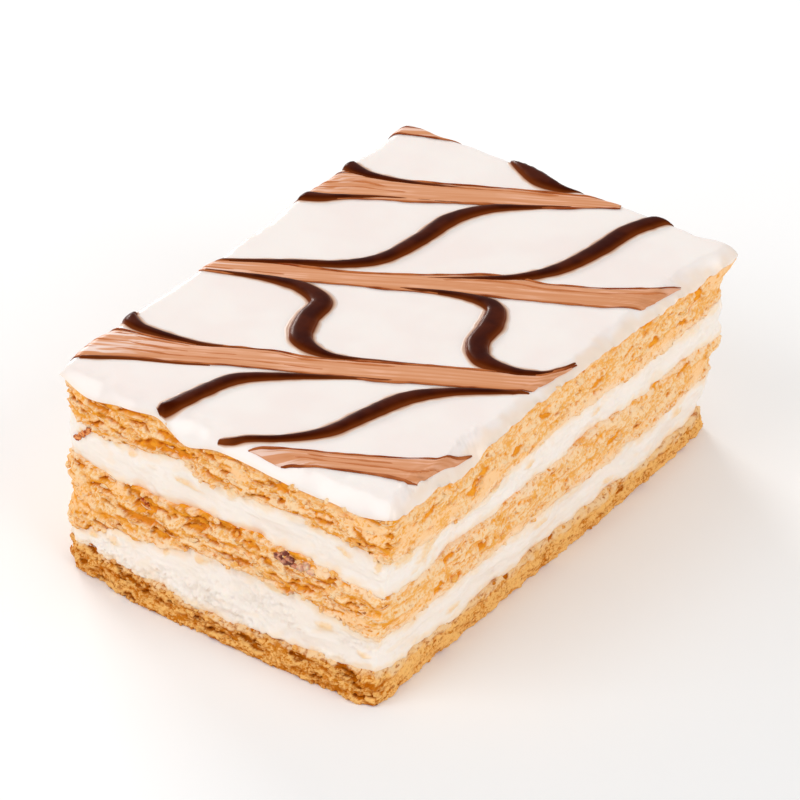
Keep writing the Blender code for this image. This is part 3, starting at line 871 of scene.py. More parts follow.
# %% Cream
# Crumb that the knife dragged over the cream: place along the side, height, half sizes and tilt.
CREAM_MARKS = {
    "cream_upper": {
        "front": (
            (-8.6, 28.9, 3.0, 0.5, -10), (-20.5, 30.4, 1.1, 0.6, 0), (1.8, 31.9, 2.6, 1.0, 0),
            (1.7, 30.8, 1.2, 1.2, 0), (-24.6, 30.6, 0.8, 0.4, 0), (27.0, 29.2, 1.6, 0.5, -15),
            (34.8, 29.2, 0.8, 1.8, 0), (-33.0, 29.8, 1.6, 0.7, 20),
        ),
        "right": (
            (-20.0, 29.6, 1.5, 1.4, 30), (-38.5, 27.2, 4.6, 1.8, 35), (-46.0, 28.6, 2.6, 1.6, 0),
            (-9.0, 27.4, 1.4, 0.5, 0), (12.0, 27.2, 1.6, 0.4, 0), (34.0, 28.4, 2.0, 0.5, 10),
        ),
    },
    "cream_lower": {
        "front": (
            (24.7, 12.6, 1.7, 0.9, 0), (12.7, 15.6, 2.0, 0.8, 0), (-11.6, 14.4, 0.8, 1.2, 0),
            (-24.0, 10.6, 1.4, 0.7, 0), (-29.5, 9.6, 1.5, 0.6, 10), (-4.0, 14.6, 1.4, 0.5, 0),
            (33.0, 9.4, 1.4, 0.5, 0),
        ),
        "right": (
            (-30.0, 8.4, 1.8, 0.6, 0), (-4.0, 11.6, 2.2, 0.5, 5), (18.0, 8.0, 1.6, 0.5, 0),
            (40.0, 11.0, 1.8, 0.6, 0),
        ),
    },
}


def cream_layer(name, node, lower, upper, side_rows, seed, foam):
    """One layer of cream, all round the slice; foam tells how rough and airy its foot is."""
    ring = columns()

    def relief(points, way, low, high, share):
        under, above = to_edges(low, high, share)
        torn = 1 - clean_cut(way)
        stand = 0.8 * crags(points, seed, SWELL) - 0.5
        stand += 0.22 * wobble(points, (3.4, 3.4, 1.8), seed + 1, 2)
        stand += 0.1 * wobble(points, (9, 9, 0.6), seed + 2) + 0.06 * wobble(points, (6, 6, 0.35), seed + 7)
        patches = step(-0.25, 0.3, wobble(points, (8, 8, 5), seed + 6))
        foamy = patches * (foam * torn * step(1.1, 0.3, above / (above + under)) + 0.25)
        froth = wobble(points, (1.5, 1.5, 1.0), seed + 3, 4)
        pulled = raised(points, 0.4 * points[:, 0])  # the knife pulled the cream down and to the right
        knife = foam * torn * step(15.0, 7.0, np.abs(points[:, 0] - 4.0)) + 0.3 * patches
        strokes = wobble(pulled, (2.4, 2.4, 0.7), seed + 8, 3) * knife
        pit = step(0.4, 0.75, froth) * foamy
        ragged = wobble(points, (2.4, 2.4, 1.6), seed + 4, 2)
        edge = np.maximum(step(2.4, 0.0, under + 1.2 * ragged), step(1.9, 0.0, above + 1.0 * ragged))
        marks = spots(points, way, CREAM_MARKS[node], 1.0)
        faint = step(0.35, 0.6, wobble(points, (5, 5, 2.0), seed + 5, 2)) * 0.25
        stand += 0.5 * froth * foamy - 0.3 * pit + 0.3 * strokes + marks * (0.3 + 0.2 * froth)
        return stand, {"peach": np.clip(edge * 0.8 + faint, 0, 1), "smear": marks, "pit": pit * 0.6}

    points, faces, masks = layer_skin(lower, upper, side_rows, ring, relief, tuck=0.3)
    keep_side(name, points, ring)
    return add_piece(name, points, faces, cream, "cream", (node,), masks)


cream_layer(
    "lower_cream", "cream_lower", "sheet_1_top", "cream_1_top", side_rows=34, seed=17.0, foam=1.0,
)
cream_layer(
    "upper_cream", "cream_upper", "sheet_2_top", "cream_2_top", side_rows=30, seed=59.0, foam=0.0,
)

# %% [markdown]
# ## Loose flakes and crumbs
# A knife never leaves puff pastry tidy: broken leaves stand out of the cut and crumbs cling to it.
# Each flake is a thin, bent scrap with eight corners, and each crumb a small ball with a rough
# surface. Their places are drawn at random on the cut sides that were kept, more often where the
# dough was torn than where it was cut clean, and all of a kind are joined into one mesh.

# %% Flakes and crumbs
CORNERS = 8
FLAKE_POINTS = 2 * CORNERS + 2  # an upper and a lower rim, and a middle point for each
FLAKE_THICKNESS = 0.12  # mm


def pick_places(layer, count, draw, edge_share=0.0):
    """Random places on a cut side, some of them near its upper or lower edge, and the way out there."""
    grid, outward, way = SIDES[layer]
    chance = 1 - 0.8 * clean_cut(way)
    column = draw.choice(len(way), count, p=chance / chance.sum())
    row = draw.integers(1, len(grid) - 1, count)
    at_edge = draw.random(count) < edge_share
    row = np.where(at_edge, np.where(draw.random(count) < 0.5, 1, len(grid) - 2), row)
    return grid[row, column], outward[column]


def along_side(outward):
    """The level direction along the side for each outward direction."""
    return np.column_stack((-outward[:, 1], outward[:, 0], np.zeros(len(outward))))


def flakes(layer, count, seed, longest):
    """Thin broken leaves that stand out of a cut side."""
    draw = np.random.default_rng(seed)
    centre, outward = pick_places(layer, count, draw)
    along, up = along_side(outward), np.array((0.0, 0.0, 1.0))
    slant, lift = draw.normal(0.0, 0.25, (count, 1)), draw.uniform(0.15, 1.35, (count, 1))
    rise = np.where(draw.random((count, 1)) < 0.5, 1.0, -1.0)
    ahead = along * np.cos(slant) + up * np.sin(slant)
    aside = outward * np.cos(lift) + np.cross(outward, ahead) * np.sin(lift) * rise
    normal = np.cross(ahead, aside)
    length = longest * draw.uniform(0.3, 1.0, (count, 1, 1))
    width = length * draw.uniform(0.25, 0.5, (count, 1, 1))
    angle = np.arange(CORNERS) / CORNERS * 2 * math.pi + draw.normal(0.0, 0.15, (count, CORNERS))
    reach = draw.uniform(0.55, 1.1, (count, CORNERS))
    u, v = (np.cos(angle) * reach)[:, :, None], (np.sin(angle) * reach)[:, :, None]
    rim_points = centre[:, None] + ahead[:, None] * u * length / 2 + aside[:, None] * v * width / 2
    rim_points = rim_points - normal[:, None] * u ** 2 * width * 0.3
    thick = normal[:, None] * FLAKE_THICKNESS / 2
    points = np.concatenate(
        (rim_points + thick, rim_points - thick, centre[:, None] + thick, centre[:, None] - thick), axis=1,
    )
    faces = []
    for start in range(0, count * FLAKE_POINTS, FLAKE_POINTS):
        for corner in range(CORNERS):
            here, following = start + corner, start + (corner + 1) % CORNERS
            faces.append((start + 2 * CORNERS, here, following))
            faces.append((start + 2 * CORNERS + 1, following + CORNERS, here + CORNERS))
            faces.append((here, here + CORNERS, following + CORNERS, following))
    tone = np.repeat(draw.uniform(0.1, 1.0, count), FLAKE_POINTS)
    return points.reshape(-1, 3), faces, tone


def round_grain():
    """Points and faces of a small ball."""
    ball = bmesh.new()
    bmesh.ops.create_icosphere(ball, subdivisions=2, radius=1.0)
    points = np.array([vertex.co[:] for vertex in ball.verts])
    faces = [[vertex.index for vertex in face.verts] for face in ball.faces]
    ball.free()
    return points, faces


GRAIN_POINTS, GRAIN_FACES = round_grain()


def grains(centre, outward, size, seed):
    """Rough grains at the places; size gives half their length along, outwards and up in mm."""
    draw = np.random.default_rng(seed)
    count = len(centre)
    rough = draw.uniform(0.7, 1.15, (count, len(GRAIN_POINTS), 1))
    shape = GRAIN_POINTS[None] * rough * size[:, None]
    points = centre[:, None] + along_side(outward)[:, None] * shape[:, :, :1]
    points = points + outward[:, None] * shape[:, :, 1:2] + np.array((0.0, 0.0, 1.0)) * shape[:, :, 2:]
    starts = range(0, count * len(GRAIN_POINTS), len(GRAIN_POINTS))
    faces = [[start + n for n in face] for start in starts for face in GRAIN_FACES]
    return points.reshape(-1, 3), faces, np.repeat(draw.uniform(0.2, 1.0, count), len(GRAIN_POINTS))


def crumbs(layer, count, seed, largest):
    """Crumbs that cling to a cut side, most of them small."""
    draw = np.random.default_rng(seed)
    centre, outward = pick_places(layer, count, draw, 0.5)
    size = largest * draw.uniform(0.3, 1.0, (count, 1)) ** 1.6 * draw.uniform(0.6, 1.2, (count, 3))
    return grains(centre, outward, size, seed + 1)


def scatter(name, parts, own_material, slot, nodes):
    """Join parts into one piece, with their own tones as the crumb mask."""
    points, faces, tones = [], [], []
    for part_points, part_faces, tone in parts:
        start = sum(len(earlier) for earlier in points)
        points.append(part_points)
        faces += [[start + n for n in face] for face in part_faces]
        tones.append(tone)
    masks = {"crumb": np.concatenate(tones)}
    return add_piece(name, into_box(np.concatenate(points)), faces, own_material, slot, nodes, masks)


scatter(
    "golden_flakes", [flakes("middle_sheet", 300, 1, 3.2), flakes("top_sheet", 260, 2, 3.0)],
    golden, "golden_pastry", ("pastry_middle", "pastry_top"),
)
scatter("baked_flakes", [flakes("bottom_sheet", 180, 3, 2.4)], baked, "baked_pastry", ("pastry_bottom",))
scatter(
    "golden_crumbs", [crumbs("middle_sheet", 300, 4, 0.75), crumbs("top_sheet", 240, 5, 0.7)],
    golden, "golden_pastry", ("pastry_middle", "pastry_top"),
)
scatter("baked_crumbs", [crumbs("bottom_sheet", 200, 6, 0.6)], baked, "baked_pastry", ("pastry_bottom",))

# %% [markdown]
# ## A smear of jam and the burnt bits
# On top of the middle sheet a little jam was pressed out, and some dark caramelised crumbs cling
# to the front. They are the same rough grains, each at its own place along the front.

# %% Jam and burnt bits
# Place along the front, height, and half the length along, outwards and up, all in mm.
JAM = (
    (13.2, 23.2, 1.2, 0.7, 0.9), (14.6, 22.8, 1.3, 0.8, 0.8), (15.8, 23.6, 1.0, 0.7, 0.8),
    (14.4, 24.2, 1.0, 0.6, 0.5), (16.4, 22.5, 1.1, 0.6, 0.6),
)
SYRUP = (
    (17.8, 22.6, 1.1, 0.7, 0.7), (19.0, 23.0, 1.0, 0.7, 0.7), (20.3, 22.8, 1.1, 0.6, 0.6),
    (18.6, 23.7, 0.9, 0.5, 0.4),
)
BURNT = (
    (-34.4, 27.7, 0.8, 0.4, 0.6), (-33.8, 28.2, 0.6, 0.5, 0.7), (-33.2, 28.8, 0.8, 0.4, 0.6),
    (-32.6, 29.4, 0.6, 0.5, 0.8), (-32.0, 30.0, 0.7, 0.4, 0.6), (-31.4, 30.6, 0.6, 0.4, 0.7),
    (-30.9, 31.2, 0.7, 0.4, 0.4), (-18.4, 21.5, 0.9, 0.6, 0.4), (-17.6, 21.1, 0.8, 0.6, 0.5),
    (-17.0, 20.5, 0.7, 0.6, 0.5),
)


def on_front(marks, seed):
    """Grains on the front at the given places."""
    found, outwards = [], []
    for along, height, *_ in marks:
        layers = [(grid[:, way < 1], outward[way < 1]) for grid, outward, way in SIDES.values()]
        far = [np.hypot(grid[:, :, 0] - along, grid[:, :, 2] - height) for grid, _ in layers]
        nearest = min(range(len(layers)), key=lambda n: far[n].min())
        row, column = np.unravel_index(far[nearest].argmin(), far[nearest].shape)
        found.append(layers[nearest][0][row, column])
        outwards.append(layers[nearest][1][column])
    return grains(np.array(found), np.array(outwards), np.array([mark[2:] for mark in marks]), seed)


jam_recipe = Recipe(
    "jam", Roughness=0.25, Specular_IOR_Level=0.4, Subsurface_Weight=0.3, Subsurface_Scale=0.001,
)
jam_colour = jam_recipe.mix(
    jam_recipe.grain((1.1, 1.1, 1.1)).step(0.4, 0.6), paint(112, 44, 28), paint(214, 140, 104),
)
jam = jam_recipe.finish(jam_colour, None, jam_recipe.grain((0.5, 0.5, 0.5)), 0.1, 0.4)
syrup_recipe = Recipe(
    "syrup", Roughness=0.2, Specular_IOR_Level=0.5, Subsurface_Weight=0.3, Subsurface_Scale=0.001,
)
syrup_colour = syrup_recipe.mix(
    syrup_recipe.grain((0.9, 0.9, 0.9)).step(0.4, 0.6), paint(240, 196, 160), paint(214, 156, 128),
)
syrup = syrup_recipe.finish(syrup_colour)
burnt_recipe = Recipe("burnt_sugar", Roughness=0.35, Specular_IOR_Level=0.15)
burnt_colour = burnt_recipe.mix(
    burnt_recipe.grain((0.7, 0.7, 0.7)).step(0.4, 0.6), paint(172, 70, 18), paint(238, 156, 90),
)
burnt = burnt_recipe.finish(burnt_colour, None, burnt_recipe.grain((0.4, 0.4, 0.4)), 0.1, 0.5)
scatter("jam_smear", [on_front(JAM, 11)], jam, "dark_chocolate", ("pastry_middle",))
scatter("syrup_drops", [on_front(SYRUP, 12)], syrup, "icing", ("pastry_middle",))
scatter("burnt_bits", [on_front(BURNT, 13)], burnt, "dark_chocolate", ("pastry_middle", "cream_upper"))

# %% [markdown]
# ## The icing
# Fondant icing was poured warm over the top sheet, so it is glossy and level, and it hangs over the
# front in a soft lip. On the right the knife drew it down to a thin, ragged bevel. Its height is a
# function of the place on top, so that the chocolate can lie on it: how far inside each edge a place
# is decides how much the icing has dropped there.

# %% Height of the icing
ICING_TOP = HEIGHT - 0.12  # mm, the level of the icing's top without its waves
# Each of these rows holds the front, the right side, the back and the left side.
ICING_WIDTHS = (4.6, 3.4, 2.2, 2.6)  # mm from each edge at which it starts to fall
ICING_CURVES = (2.4, 1.6, 2.6, 2.4)  # how suddenly it falls there: 1 is a straight bevel
OVERHANG = ((0.6, 0.6), (0.1, 0.1), (0.4, 0.4), (0.5, 0.5))  # mm by which it stands out over the pastry
EDGES = ((FRONT, 1), (RIGHT, -1), (BACK, -1), (LEFT, 1))  # where each edge lies, and which way is inside


def rim(way, x, y):
    """How far out the edge of the icing stands."""
    level = np.full_like(x, 41.0)
    swell = 0.5 * crags(np.column_stack((x, y, level)), 97.0, LIP_SWELL)
    return bulges(np.column_stack((x, y, level))) + swell + round_the_slice(OVERHANG, way)


def ragged_lip(way, x, y):
    """How far the icing's lower edge strays from its smooth line."""
    return uneven("sheet_3_top", way, np.column_stack(((x - CENTRE_X) / HALF_X, (y - CENTRE_Y) / HALF_Y)))


def from_edges(x, y):
    """How far inside each edge of the icing the places lie, and how low and how ragged it hangs."""
    found = []
    for side, (fixed, inwards) in enumerate(EDGES):
        along_x = side % 2 == 0
        share = (x - LEFT) / (RIGHT - LEFT) if along_x else (y - FRONT) / (BACK - FRONT)
        way = side + np.clip(share if side < 2 else 1 - share, 0.0, 0.9999)
        foot = (x, np.full_like(x, fixed)) if along_x else (np.full_like(x, fixed), y)
        inside = ((y if along_x else x) - fixed) * inwards + rim(way, *foot)
        found.append((inside, heights("sheet_3_top", way), ragged_lip(way, *foot)))
    return found


def icing_top(x, y):
    """Height of the icing at each place, with lumps where the knife dragged its right edge."""
    points = np.column_stack((x, y, np.zeros_like(x)))
    z = ICING_TOP + 0.1 * wobble(points, (16, 16, 16), 9.0)
    wide = 1 + 0.45 * wobble(points, (9, 9, 9), 23.0) + 0.2 * wobble(points, (3, 3, 3), 24.0)
    fallen = np.zeros_like(z)
    for side, (inside, lip, ragged) in enumerate(from_edges(x, y)):
        near = np.clip(1 - inside / (ICING_WIDTHS[side] * wide), 0.0, 1.0)
        drop = np.maximum(z - lip - ragged * near ** 5, 0.0)
        fallen += (drop * near ** ICING_CURVES[side]) ** 4
        if side == 1:
            dragged = step(0.6, 1.6, inside) * step(5.5, 2.6, inside)
            dragged = dragged * step(-0.1, 0.35, wobble(points, (8, 8, 8), 21.0))
            z = z + 0.34 * dragged * wobble(points, (1.5, 1.5, 1.5), 22.0, 3)
    return z - fallen ** 0.25


middle_height = icing_top(np.array([0.0]), np.array([0.0]))[0]
print("the icing is", round(float(middle_height), 1), "mm up in the middle")

# %% [markdown]
# ## The icing's skin
# The skin is one more ring of columns. Its rows start under the icing, turn round the lip and run in
# rings over the top to the middle, close together near the edge where the surface bends. A mask says
# where the icing is so thin that the pastry shines through.

# %% Icing
# How far inside the edge each row lies, in mm, under the icing and on its top.
UNDER_INSETS = (7.0, 3.5, 1.6, 0.6, 0.12)
TOP_INSETS = (
    0.03, 0.1, 0.2, 0.35, 0.55, 0.8, 1.05, 1.3, 1.6, 1.9, 2.2, 2.5, 2.8, 3.1, 3.4, 3.7, 4.0, 4.4,
    4.8, 5.3, 6.0, 7.0, 8.5, 11.0, 15.0, 20.0, 25.5, 31.0, 36.0,
)
BULGE_FADE = 20.0  # mm inside the edge at which its bulges have died away
LIP_DROP = 0.12  # mm by which the outermost row under the icing hangs lower, to make the lip round


def icing_skin():
    """Points and faces of the poured icing, and how thin it is at each point."""
    way, place, out = columns()
    base = CENTRE + HALF * place
    push = rim(way, base[:, 0], base[:, 1])
    lip = heights("sheet_3_top", way) + ragged_lip(way, base[:, 0], base[:, 1])
    grid, thin = [], []
    for inset in UNDER_INSETS:
        keep = 1 - inset / BULGE_FADE
        spot = CENTRE + place * (HALF - inset) + out * (push * keep)[:, None]
        level = heights("sheet_3_top", way, 1 - inset / HALF_Y)
        level = level + (lip - level) * max(0.0, 1 - inset / 3.0)
        level = level - (LIP_DROP if inset == UNDER_INSETS[-1] else 0.0)
        grid.append((spot[:, 0], spot[:, 1], level))
        thin.append(np.ones_like(lip))
    grid.append((base[:, 0] + out[:, 0] * push, base[:, 1] + out[:, 1] * push, lip))
    thin.append(np.ones_like(lip))
    for inset in TOP_INSETS:
        keep = max(0.0, 1 - inset / BULGE_FADE) ** 2
        spot = CENTRE + place * (HALF - inset) + out * (push * keep)[:, None]
        level = icing_top(spot[:, 0], spot[:, 1])
        grid.append((spot[:, 0], spot[:, 1], level))
        patchy = inset + 1.6 * wobble(np.column_stack((spot, level)), (3.5, 3.5, 3.5), 25.0, 2)
        at_lip = 0.6 * step(0.8, 0.0, level - lip)
        thin.append(np.maximum(at_lip, on_right(way) * step(3.0, 0.2, patchy)))
    x, y, z = (np.array([row[axis] for row in grid]) for axis in range(3))
    middle = np.array(((CENTRE_X, CENTRE_Y, z[0].mean()), (CENTRE_X, CENTRE_Y, ICING_TOP)))
    x, y = lean(x, y, z)
    points = np.concatenate((np.column_stack((x.ravel(), y.ravel(), z.ravel())), middle))
    thinness = np.concatenate((np.array(thin).ravel(), (0.0, 0.0)))
    return into_box(points), skin_faces(len(x), len(way)), thinness


icing_recipe = Recipe(
    "icing_white", Roughness=0.22, Specular_IOR_Level=0.5, Subsurface_Weight=0.2, Subsurface_Scale=0.0015,
)
icing_recipe.shader.inputs["Subsurface Radius"].default_value = (1.0, 0.8, 0.7)
icing_colour = icing_recipe.mix(
    icing_recipe.grain((14, 14, 14)).step(0.35, 0.65), paint(250, 240, 234), paint(248, 235, 229),
)
icing_colour = icing_recipe.mix(icing_recipe.mask("thin") * 0.6, icing_colour, paint(247, 218, 190))
icing = icing_recipe.finish(icing_colour)
icing_points, icing_faces, icing_thin = icing_skin()
add_piece("icing_skin", icing_points, icing_faces, icing, "icing", ("icing",), {"thin": icing_thin})

# %% [markdown]
# ## Where the strokes of dark chocolate run
# Lines of dark chocolate were piped on the wet icing and then dragged sideways, so each one swells
# between two bands and thins out to a hair along them. Each stroke is given by a few points on its
# way, in mm, each with its own width. So few numbers are easy to move by hand until the line is right.

# %% Points and widths of the strokes
DARK_STROKES = {
    "back_edge": (
        (-13.4, 54.2, 2.6), (-9.4, 52.6, 4.2), (-4.6, 50.6, 4.2), (0.0, 50.2, 2.4), (3.2, 51.6, 1.2),
        (5.6, 53.2, 0.4),
    ),
    "left_edge": (
        (-38.0, 34.4, 3.2), (-34.6, 33.4, 2.9), (-30.5, 33.5, 2.0), (-22.8, 36.0, 1.2), (-11.2, 41.2, 0.8),
        (-3.4, 45.4, 0.6), (3.6, 49.4, 0.3),
    ),
    "left_tip": (
        (-38.4, 19.4, 1.8), (-36.6, 20.6, 2.8), (-34.0, 22.0, 2.4), (-31.0, 24.4, 1.5), (-25.2, 28.4, 0.9),
        (-14.6, 34.0, 0.5), (-8.0, 37.8, 0.3),
    ),
    "back": (
        (-37.6, -7.1, 0.7), (-33.2, -4.7, 1.1), (-24.5, 0.8, 1.7), (-17.2, 5.4, 2.2), (-12.4, 11.2, 3.0),
        (-10.7, 20.4, 3.4), (-10.1, 29.3, 3.6), (-6.4, 36.5, 2.4), (0.1, 42.1, 1.2), (6.3, 46.8, 0.6),
        (12.6, 51.4, 0.3),
    ),
    "right": (
        (-4.9, 8.5, 0.5), (4.5, 15.1, 1.2), (11.4, 20.4, 2.0), (16.0, 27.4, 3.0), (18.0, 36.4, 3.5),
        (18.8, 45.0, 3.7), (21.0, 51.0, 3.3), (23.6, 55.0, 2.6),
    ),
    "middle_left": (
        (-36.6, -10.9, 0.8), (-33.0, -9.4, 1.0), (-28.0, -7.4, 1.4), (-24.1, -6.2, 2.0), (-18.2, -5.3, 3.1),
        (-12.6, -7.3, 4.2), (-11.2, -13.4, 4.3), (-7.8, -19.2, 3.8), (-0.8, -20.1, 1.7), (8.9, -15.6, 0.8),
        (19.4, -10.0, 0.5), (27.0, -5.9, 0.3),
    ),
    "middle_right": (
        (-12.0, 0.8, 0.3), (-2.6, 5.7, 0.8), (6.8, 9.6, 1.9), (13.6, 9.9, 3.3), (16.8, 4.8, 4.3),
        (18.2, -1.3, 4.2), (22.2, -5.2, 3.6), (28.6, -4.9, 2.4), (32.4, -2.9, 1.6), (34.0, -1.2, 1.1),
        (34.9, 1.4, 0.7), (35.6, 4.8, 0.3),
    ),
    "left_front": (
        (-38.6, -29.2, 1.8), (-37.8, -31.4, 2.8), (-34.8, -32.8, 2.5), (-30.8, -32.6, 1.9),
        (-22.9, -31.1, 1.3), (-17.6, -28.8, 0.8), (-9.3, -24.4, 0.3),
    ),
    "left_corner": (
        (-36.9, -47.0, 0.9), (-33.7, -44.8, 1.0), (-28.3, -41.4, 0.8), (-21.1, -37.9, 0.6),
        (-16.2, -35.2, 0.3),
    ),
    "front_left": (
        (-15.2, -51.2, 2.8), (-13.4, -48.3, 3.2), (-12.1, -42.8, 3.2), (-9.8, -36.1, 3.0), (-4.0, -30.7, 2.0),
        (4.7, -24.6, 1.0), (12.2, -20.3, 0.6), (18.0, -16.7, 0.3),
    ),
    "front_right": (
        (-1.6, -51.4, 0.5), (0.4, -50.8, 1.0), (2.6, -49.6, 1.4), (8.3, -45.7, 1.8), (13.3, -39.5, 2.7),
        (15.6, -31.4, 3.3), (18.4, -23.1, 3.4), (23.5, -16.8, 2.2), (29.0, -12.5, 1.5),
        (32.6, -10.1, 1.0), (34.8, -8.5, 0.4),
    ),
}
print(len(DARK_STROKES), "strokes, the widest of", max(p[2] for s in DARK_STROKES.values() for p in s), "mm")

# %% [markdown]
# ## Tubes laid on the icing
# A curve with a bevel would float over the bent icing or sink into it. Here a stroke is a row of
# sections across a smooth line, and every point of a section asks the icing for its height. The
# section is half an ellipse with a thin film beside it, where the chocolate ran out. A section
# without a film is a closed oval, for the finest lines. What would stick out over the icing's edge
# is pressed back to it, because the knife cut the chocolate there, and the ends are blunt.

# %% Tubes
STROKE_HEIGHT = 0.3  # share of its width by which a stroke stands up
FILM = 0.9  # mm by which a thin film of chocolate runs out over the icing on both sides of a stroke
# The film's three points on one side and three on the other: share of its width, and depth in mm.
FILM_SHARES = (0.5, 1.0, 1.0, 1.0, 1.0, 0.5)
FILM_DEPTHS = (0.0, 0.06, 0.4, 0.4, 0.06, 0.0)


def smooth_line(points, steps):
    """A smooth line through the points, with as many steps between each two."""
    points = np.array(points, dtype=float)
    padded = np.concatenate((2 * points[:1] - points[1:2], points, 2 * points[-1:] - points[-2:-1]))
    share = (np.arange(steps) / steps)[:, None]
    pieces = []
    for a, b, c, d in zip(padded, padded[1:], padded[2:], padded[3:]):
        pieces.append(0.5 * (2 * b + (c - a) * share + (2 * a - 5 * b + 4 * c - d) * share ** 2
                             + (3 * b - a - 3 * c + d) * share ** 3))
    return np.concatenate(pieces + [points[-1:]])


def tube_faces(section_count, corner_count):
    """Faces round a row of closed sections, with a flat cap at each end."""
    row, corner = np.mgrid[0:section_count - 1, 0:corner_count]
    following = (corner + 1) % corner_count
    quads = np.stack(
        (row * corner_count + corner, (row + 1) * corner_count + corner,
         (row + 1) * corner_count + following, row * corner_count + following), axis=-1,
    ).reshape(-1, 4).tolist()
    end = (section_count - 1) * corner_count
    return quads + [list(range(corner_count)), [end + n for n in reversed(range(corner_count))]]


def section(corners, film):
    """One section: places across, how far each point rises, its share of the film, and depth in mm."""
    if not film:
        turn = np.linspace(0.0, 2 * math.pi, corners, endpoint=False)
        rise = np.where(np.sin(turn) > 0, np.sin(turn), np.sin(turn) * 0.6)
        return np.cos(turn), rise, np.zeros(corners), np.zeros(corners)
    turn = np.linspace(0.0, math.pi, corners - len(FILM_SHARES))
    across = np.concatenate((np.cos(turn), (-1, -1, -1, 1, 1, 1)))
    rise = np.concatenate((np.sin(turn), np.zeros(len(FILM_SHARES))))
    beside = np.concatenate((turn * 0, FILM_SHARES))
    return across, rise, beside, np.concatenate((turn * 0, FILM_DEPTHS))


def cut_flush(x, y, margin=0.4):
    """Press places that stick out over the icing's edge back to it, where the knife cut them off."""
    pushes = []
    for side, (inside, *_) in enumerate(from_edges(x.ravel(), y.ravel())):
        pushes.append(np.maximum(margin - inside, 0.0).reshape(x.shape) * EDGES[side][1])
    return x + pushes[1] + pushes[3], y + pushes[0] + pushes[2]


def stroke_points(line, corners, blunt_share=0.3, lift=0.0, film=0.0):
    """Sections of one stroke, laid on the icing and flattened, and masks for its foot and its film."""
    ahead = np.gradient(line[:, :2], axis=0)
    ahead /= np.linalg.norm(ahead, axis=1)[:, None]
    aside = np.column_stack((-ahead[:, 1], ahead[:, 0]))
    length = np.concatenate(((0.0,), np.cumsum(np.linalg.norm(np.diff(line[:, :2], axis=0), axis=1))))
    from_end = np.minimum(length, length[-1] - length)
    blunt = np.sqrt(np.clip(from_end / (blunt_share * line[:, 2]), 0.2, 1.0))
    uneven_width = 1 + 0.06 * wobble(np.column_stack((line[:, :2], length)), (2.5, 2.5, 2.5), 7.0)
    half = line[:, 2] / 2 * blunt * uneven_width
    across, rise, beside, depth = section(corners, film)
    waves = wobble(np.column_stack((line[:, :2], length)), (3.0, 3.0, 3.0), 8.0)
    run = film * step(0.0, 2.0, line[:, 2]) * (1 + 0.5 * waves)
    reach = half[:, None] * across + np.sign(across) * beside * run[:, None]
    x = line[:, 0, None] + aside[:, 0, None] * reach
    y = line[:, 1, None] + aside[:, 1, None] * reach
    x, y = cut_flush(x, y)
    height = half[:, None] * rise * 2 * STROKE_HEIGHT + (0.05 if film else 0.0) - depth
    z = icing_top(x.ravel(), y.ravel()).reshape(x.shape) + height + lift
    foot = np.maximum(step(0.95, 0.0, rise)[None, :], step(1.6, 0.6, 2 * half)[:, None])
    return (x, y, z), foot.ravel(), np.broadcast_to(beside, x.shape).ravel()


def join_tubes(grids):
    """Several tubes as one list of points in metres and one list of faces."""
    points, faces, start = [], [], 0
    for x, y, z in grids:
        leaned = lean(x, y, z)
        points.append(np.column_stack((leaned[0].ravel(), leaned[1].ravel(), z.ravel())))
        faces += [[start + n for n in face] for face in tube_faces(*x.shape)]
        start += x.size
    return into_box(np.concatenate(points)), faces


print("a tube of two square sections has", len(tube_faces(2, 4)), "faces")

# %% [markdown]
# ## Dark chocolate strokes
# Dark chocolate is nearly black where it is thick, browner at its thin foot, and its film is only a
# stain on the white icing; two masks of the mesh tell these apart. Its shine is weak and warm, so
# that the strokes don't turn grey where the lamps show in them.

# %% Strokes
dark_recipe = Recipe("dark_chocolate", Roughness=0.29, Specular_IOR_Level=0.07)
dark_recipe.shader.inputs["Specular Tint"].default_value = (1.0, 0.42, 0.18, 1.0)
dark_colour = dark_recipe.mix(
    dark_recipe.grain((4, 4, 4)).step(0.3, 0.7), paint(52, 7, 0), paint(72, 20, 0),
)
dark_colour = dark_recipe.mix(dark_recipe.mask("foot") * 0.6, dark_colour, paint(140, 66, 22))
film_mask = dark_recipe.mask("film")
dark_colour = dark_recipe.mix(film_mask.step(0.0, 0.4), dark_colour, paint(204, 164, 138))
dark_colour = dark_recipe.mix(film_mask.step(0.3, 1.0), dark_colour, paint(246, 232, 223))
dark = dark_recipe.finish(dark_colour, None, dark_recipe.grain((1.5, 1.5, 1.5)), 0.1, 0.2)
stroke_parts = [
    stroke_points(smooth_line(points, 14), 17, film=FILM)
    for points in DARK_STROKES.values()
]
stroke_masks = {
    "foot": np.concatenate([part[1] for part in stroke_parts]),
    "film": np.concatenate([part[2] for part in stroke_parts]),
}
stroke_joined = join_tubes([part[0] for part in stroke_parts])
add_piece("dark_strokes", *stroke_joined, dark, "dark_chocolate", ("icing",), stroke_masks)

# %% [markdown]
# ## Where the bands of milk chocolate run
# The bands were drawn right across the slice, all in one direction. A band is given by its upper and
# its lower edge, as points along and across that direction. On the right the knife drew some of
# their ends along the edge, and on the left some are combed open like a fan.

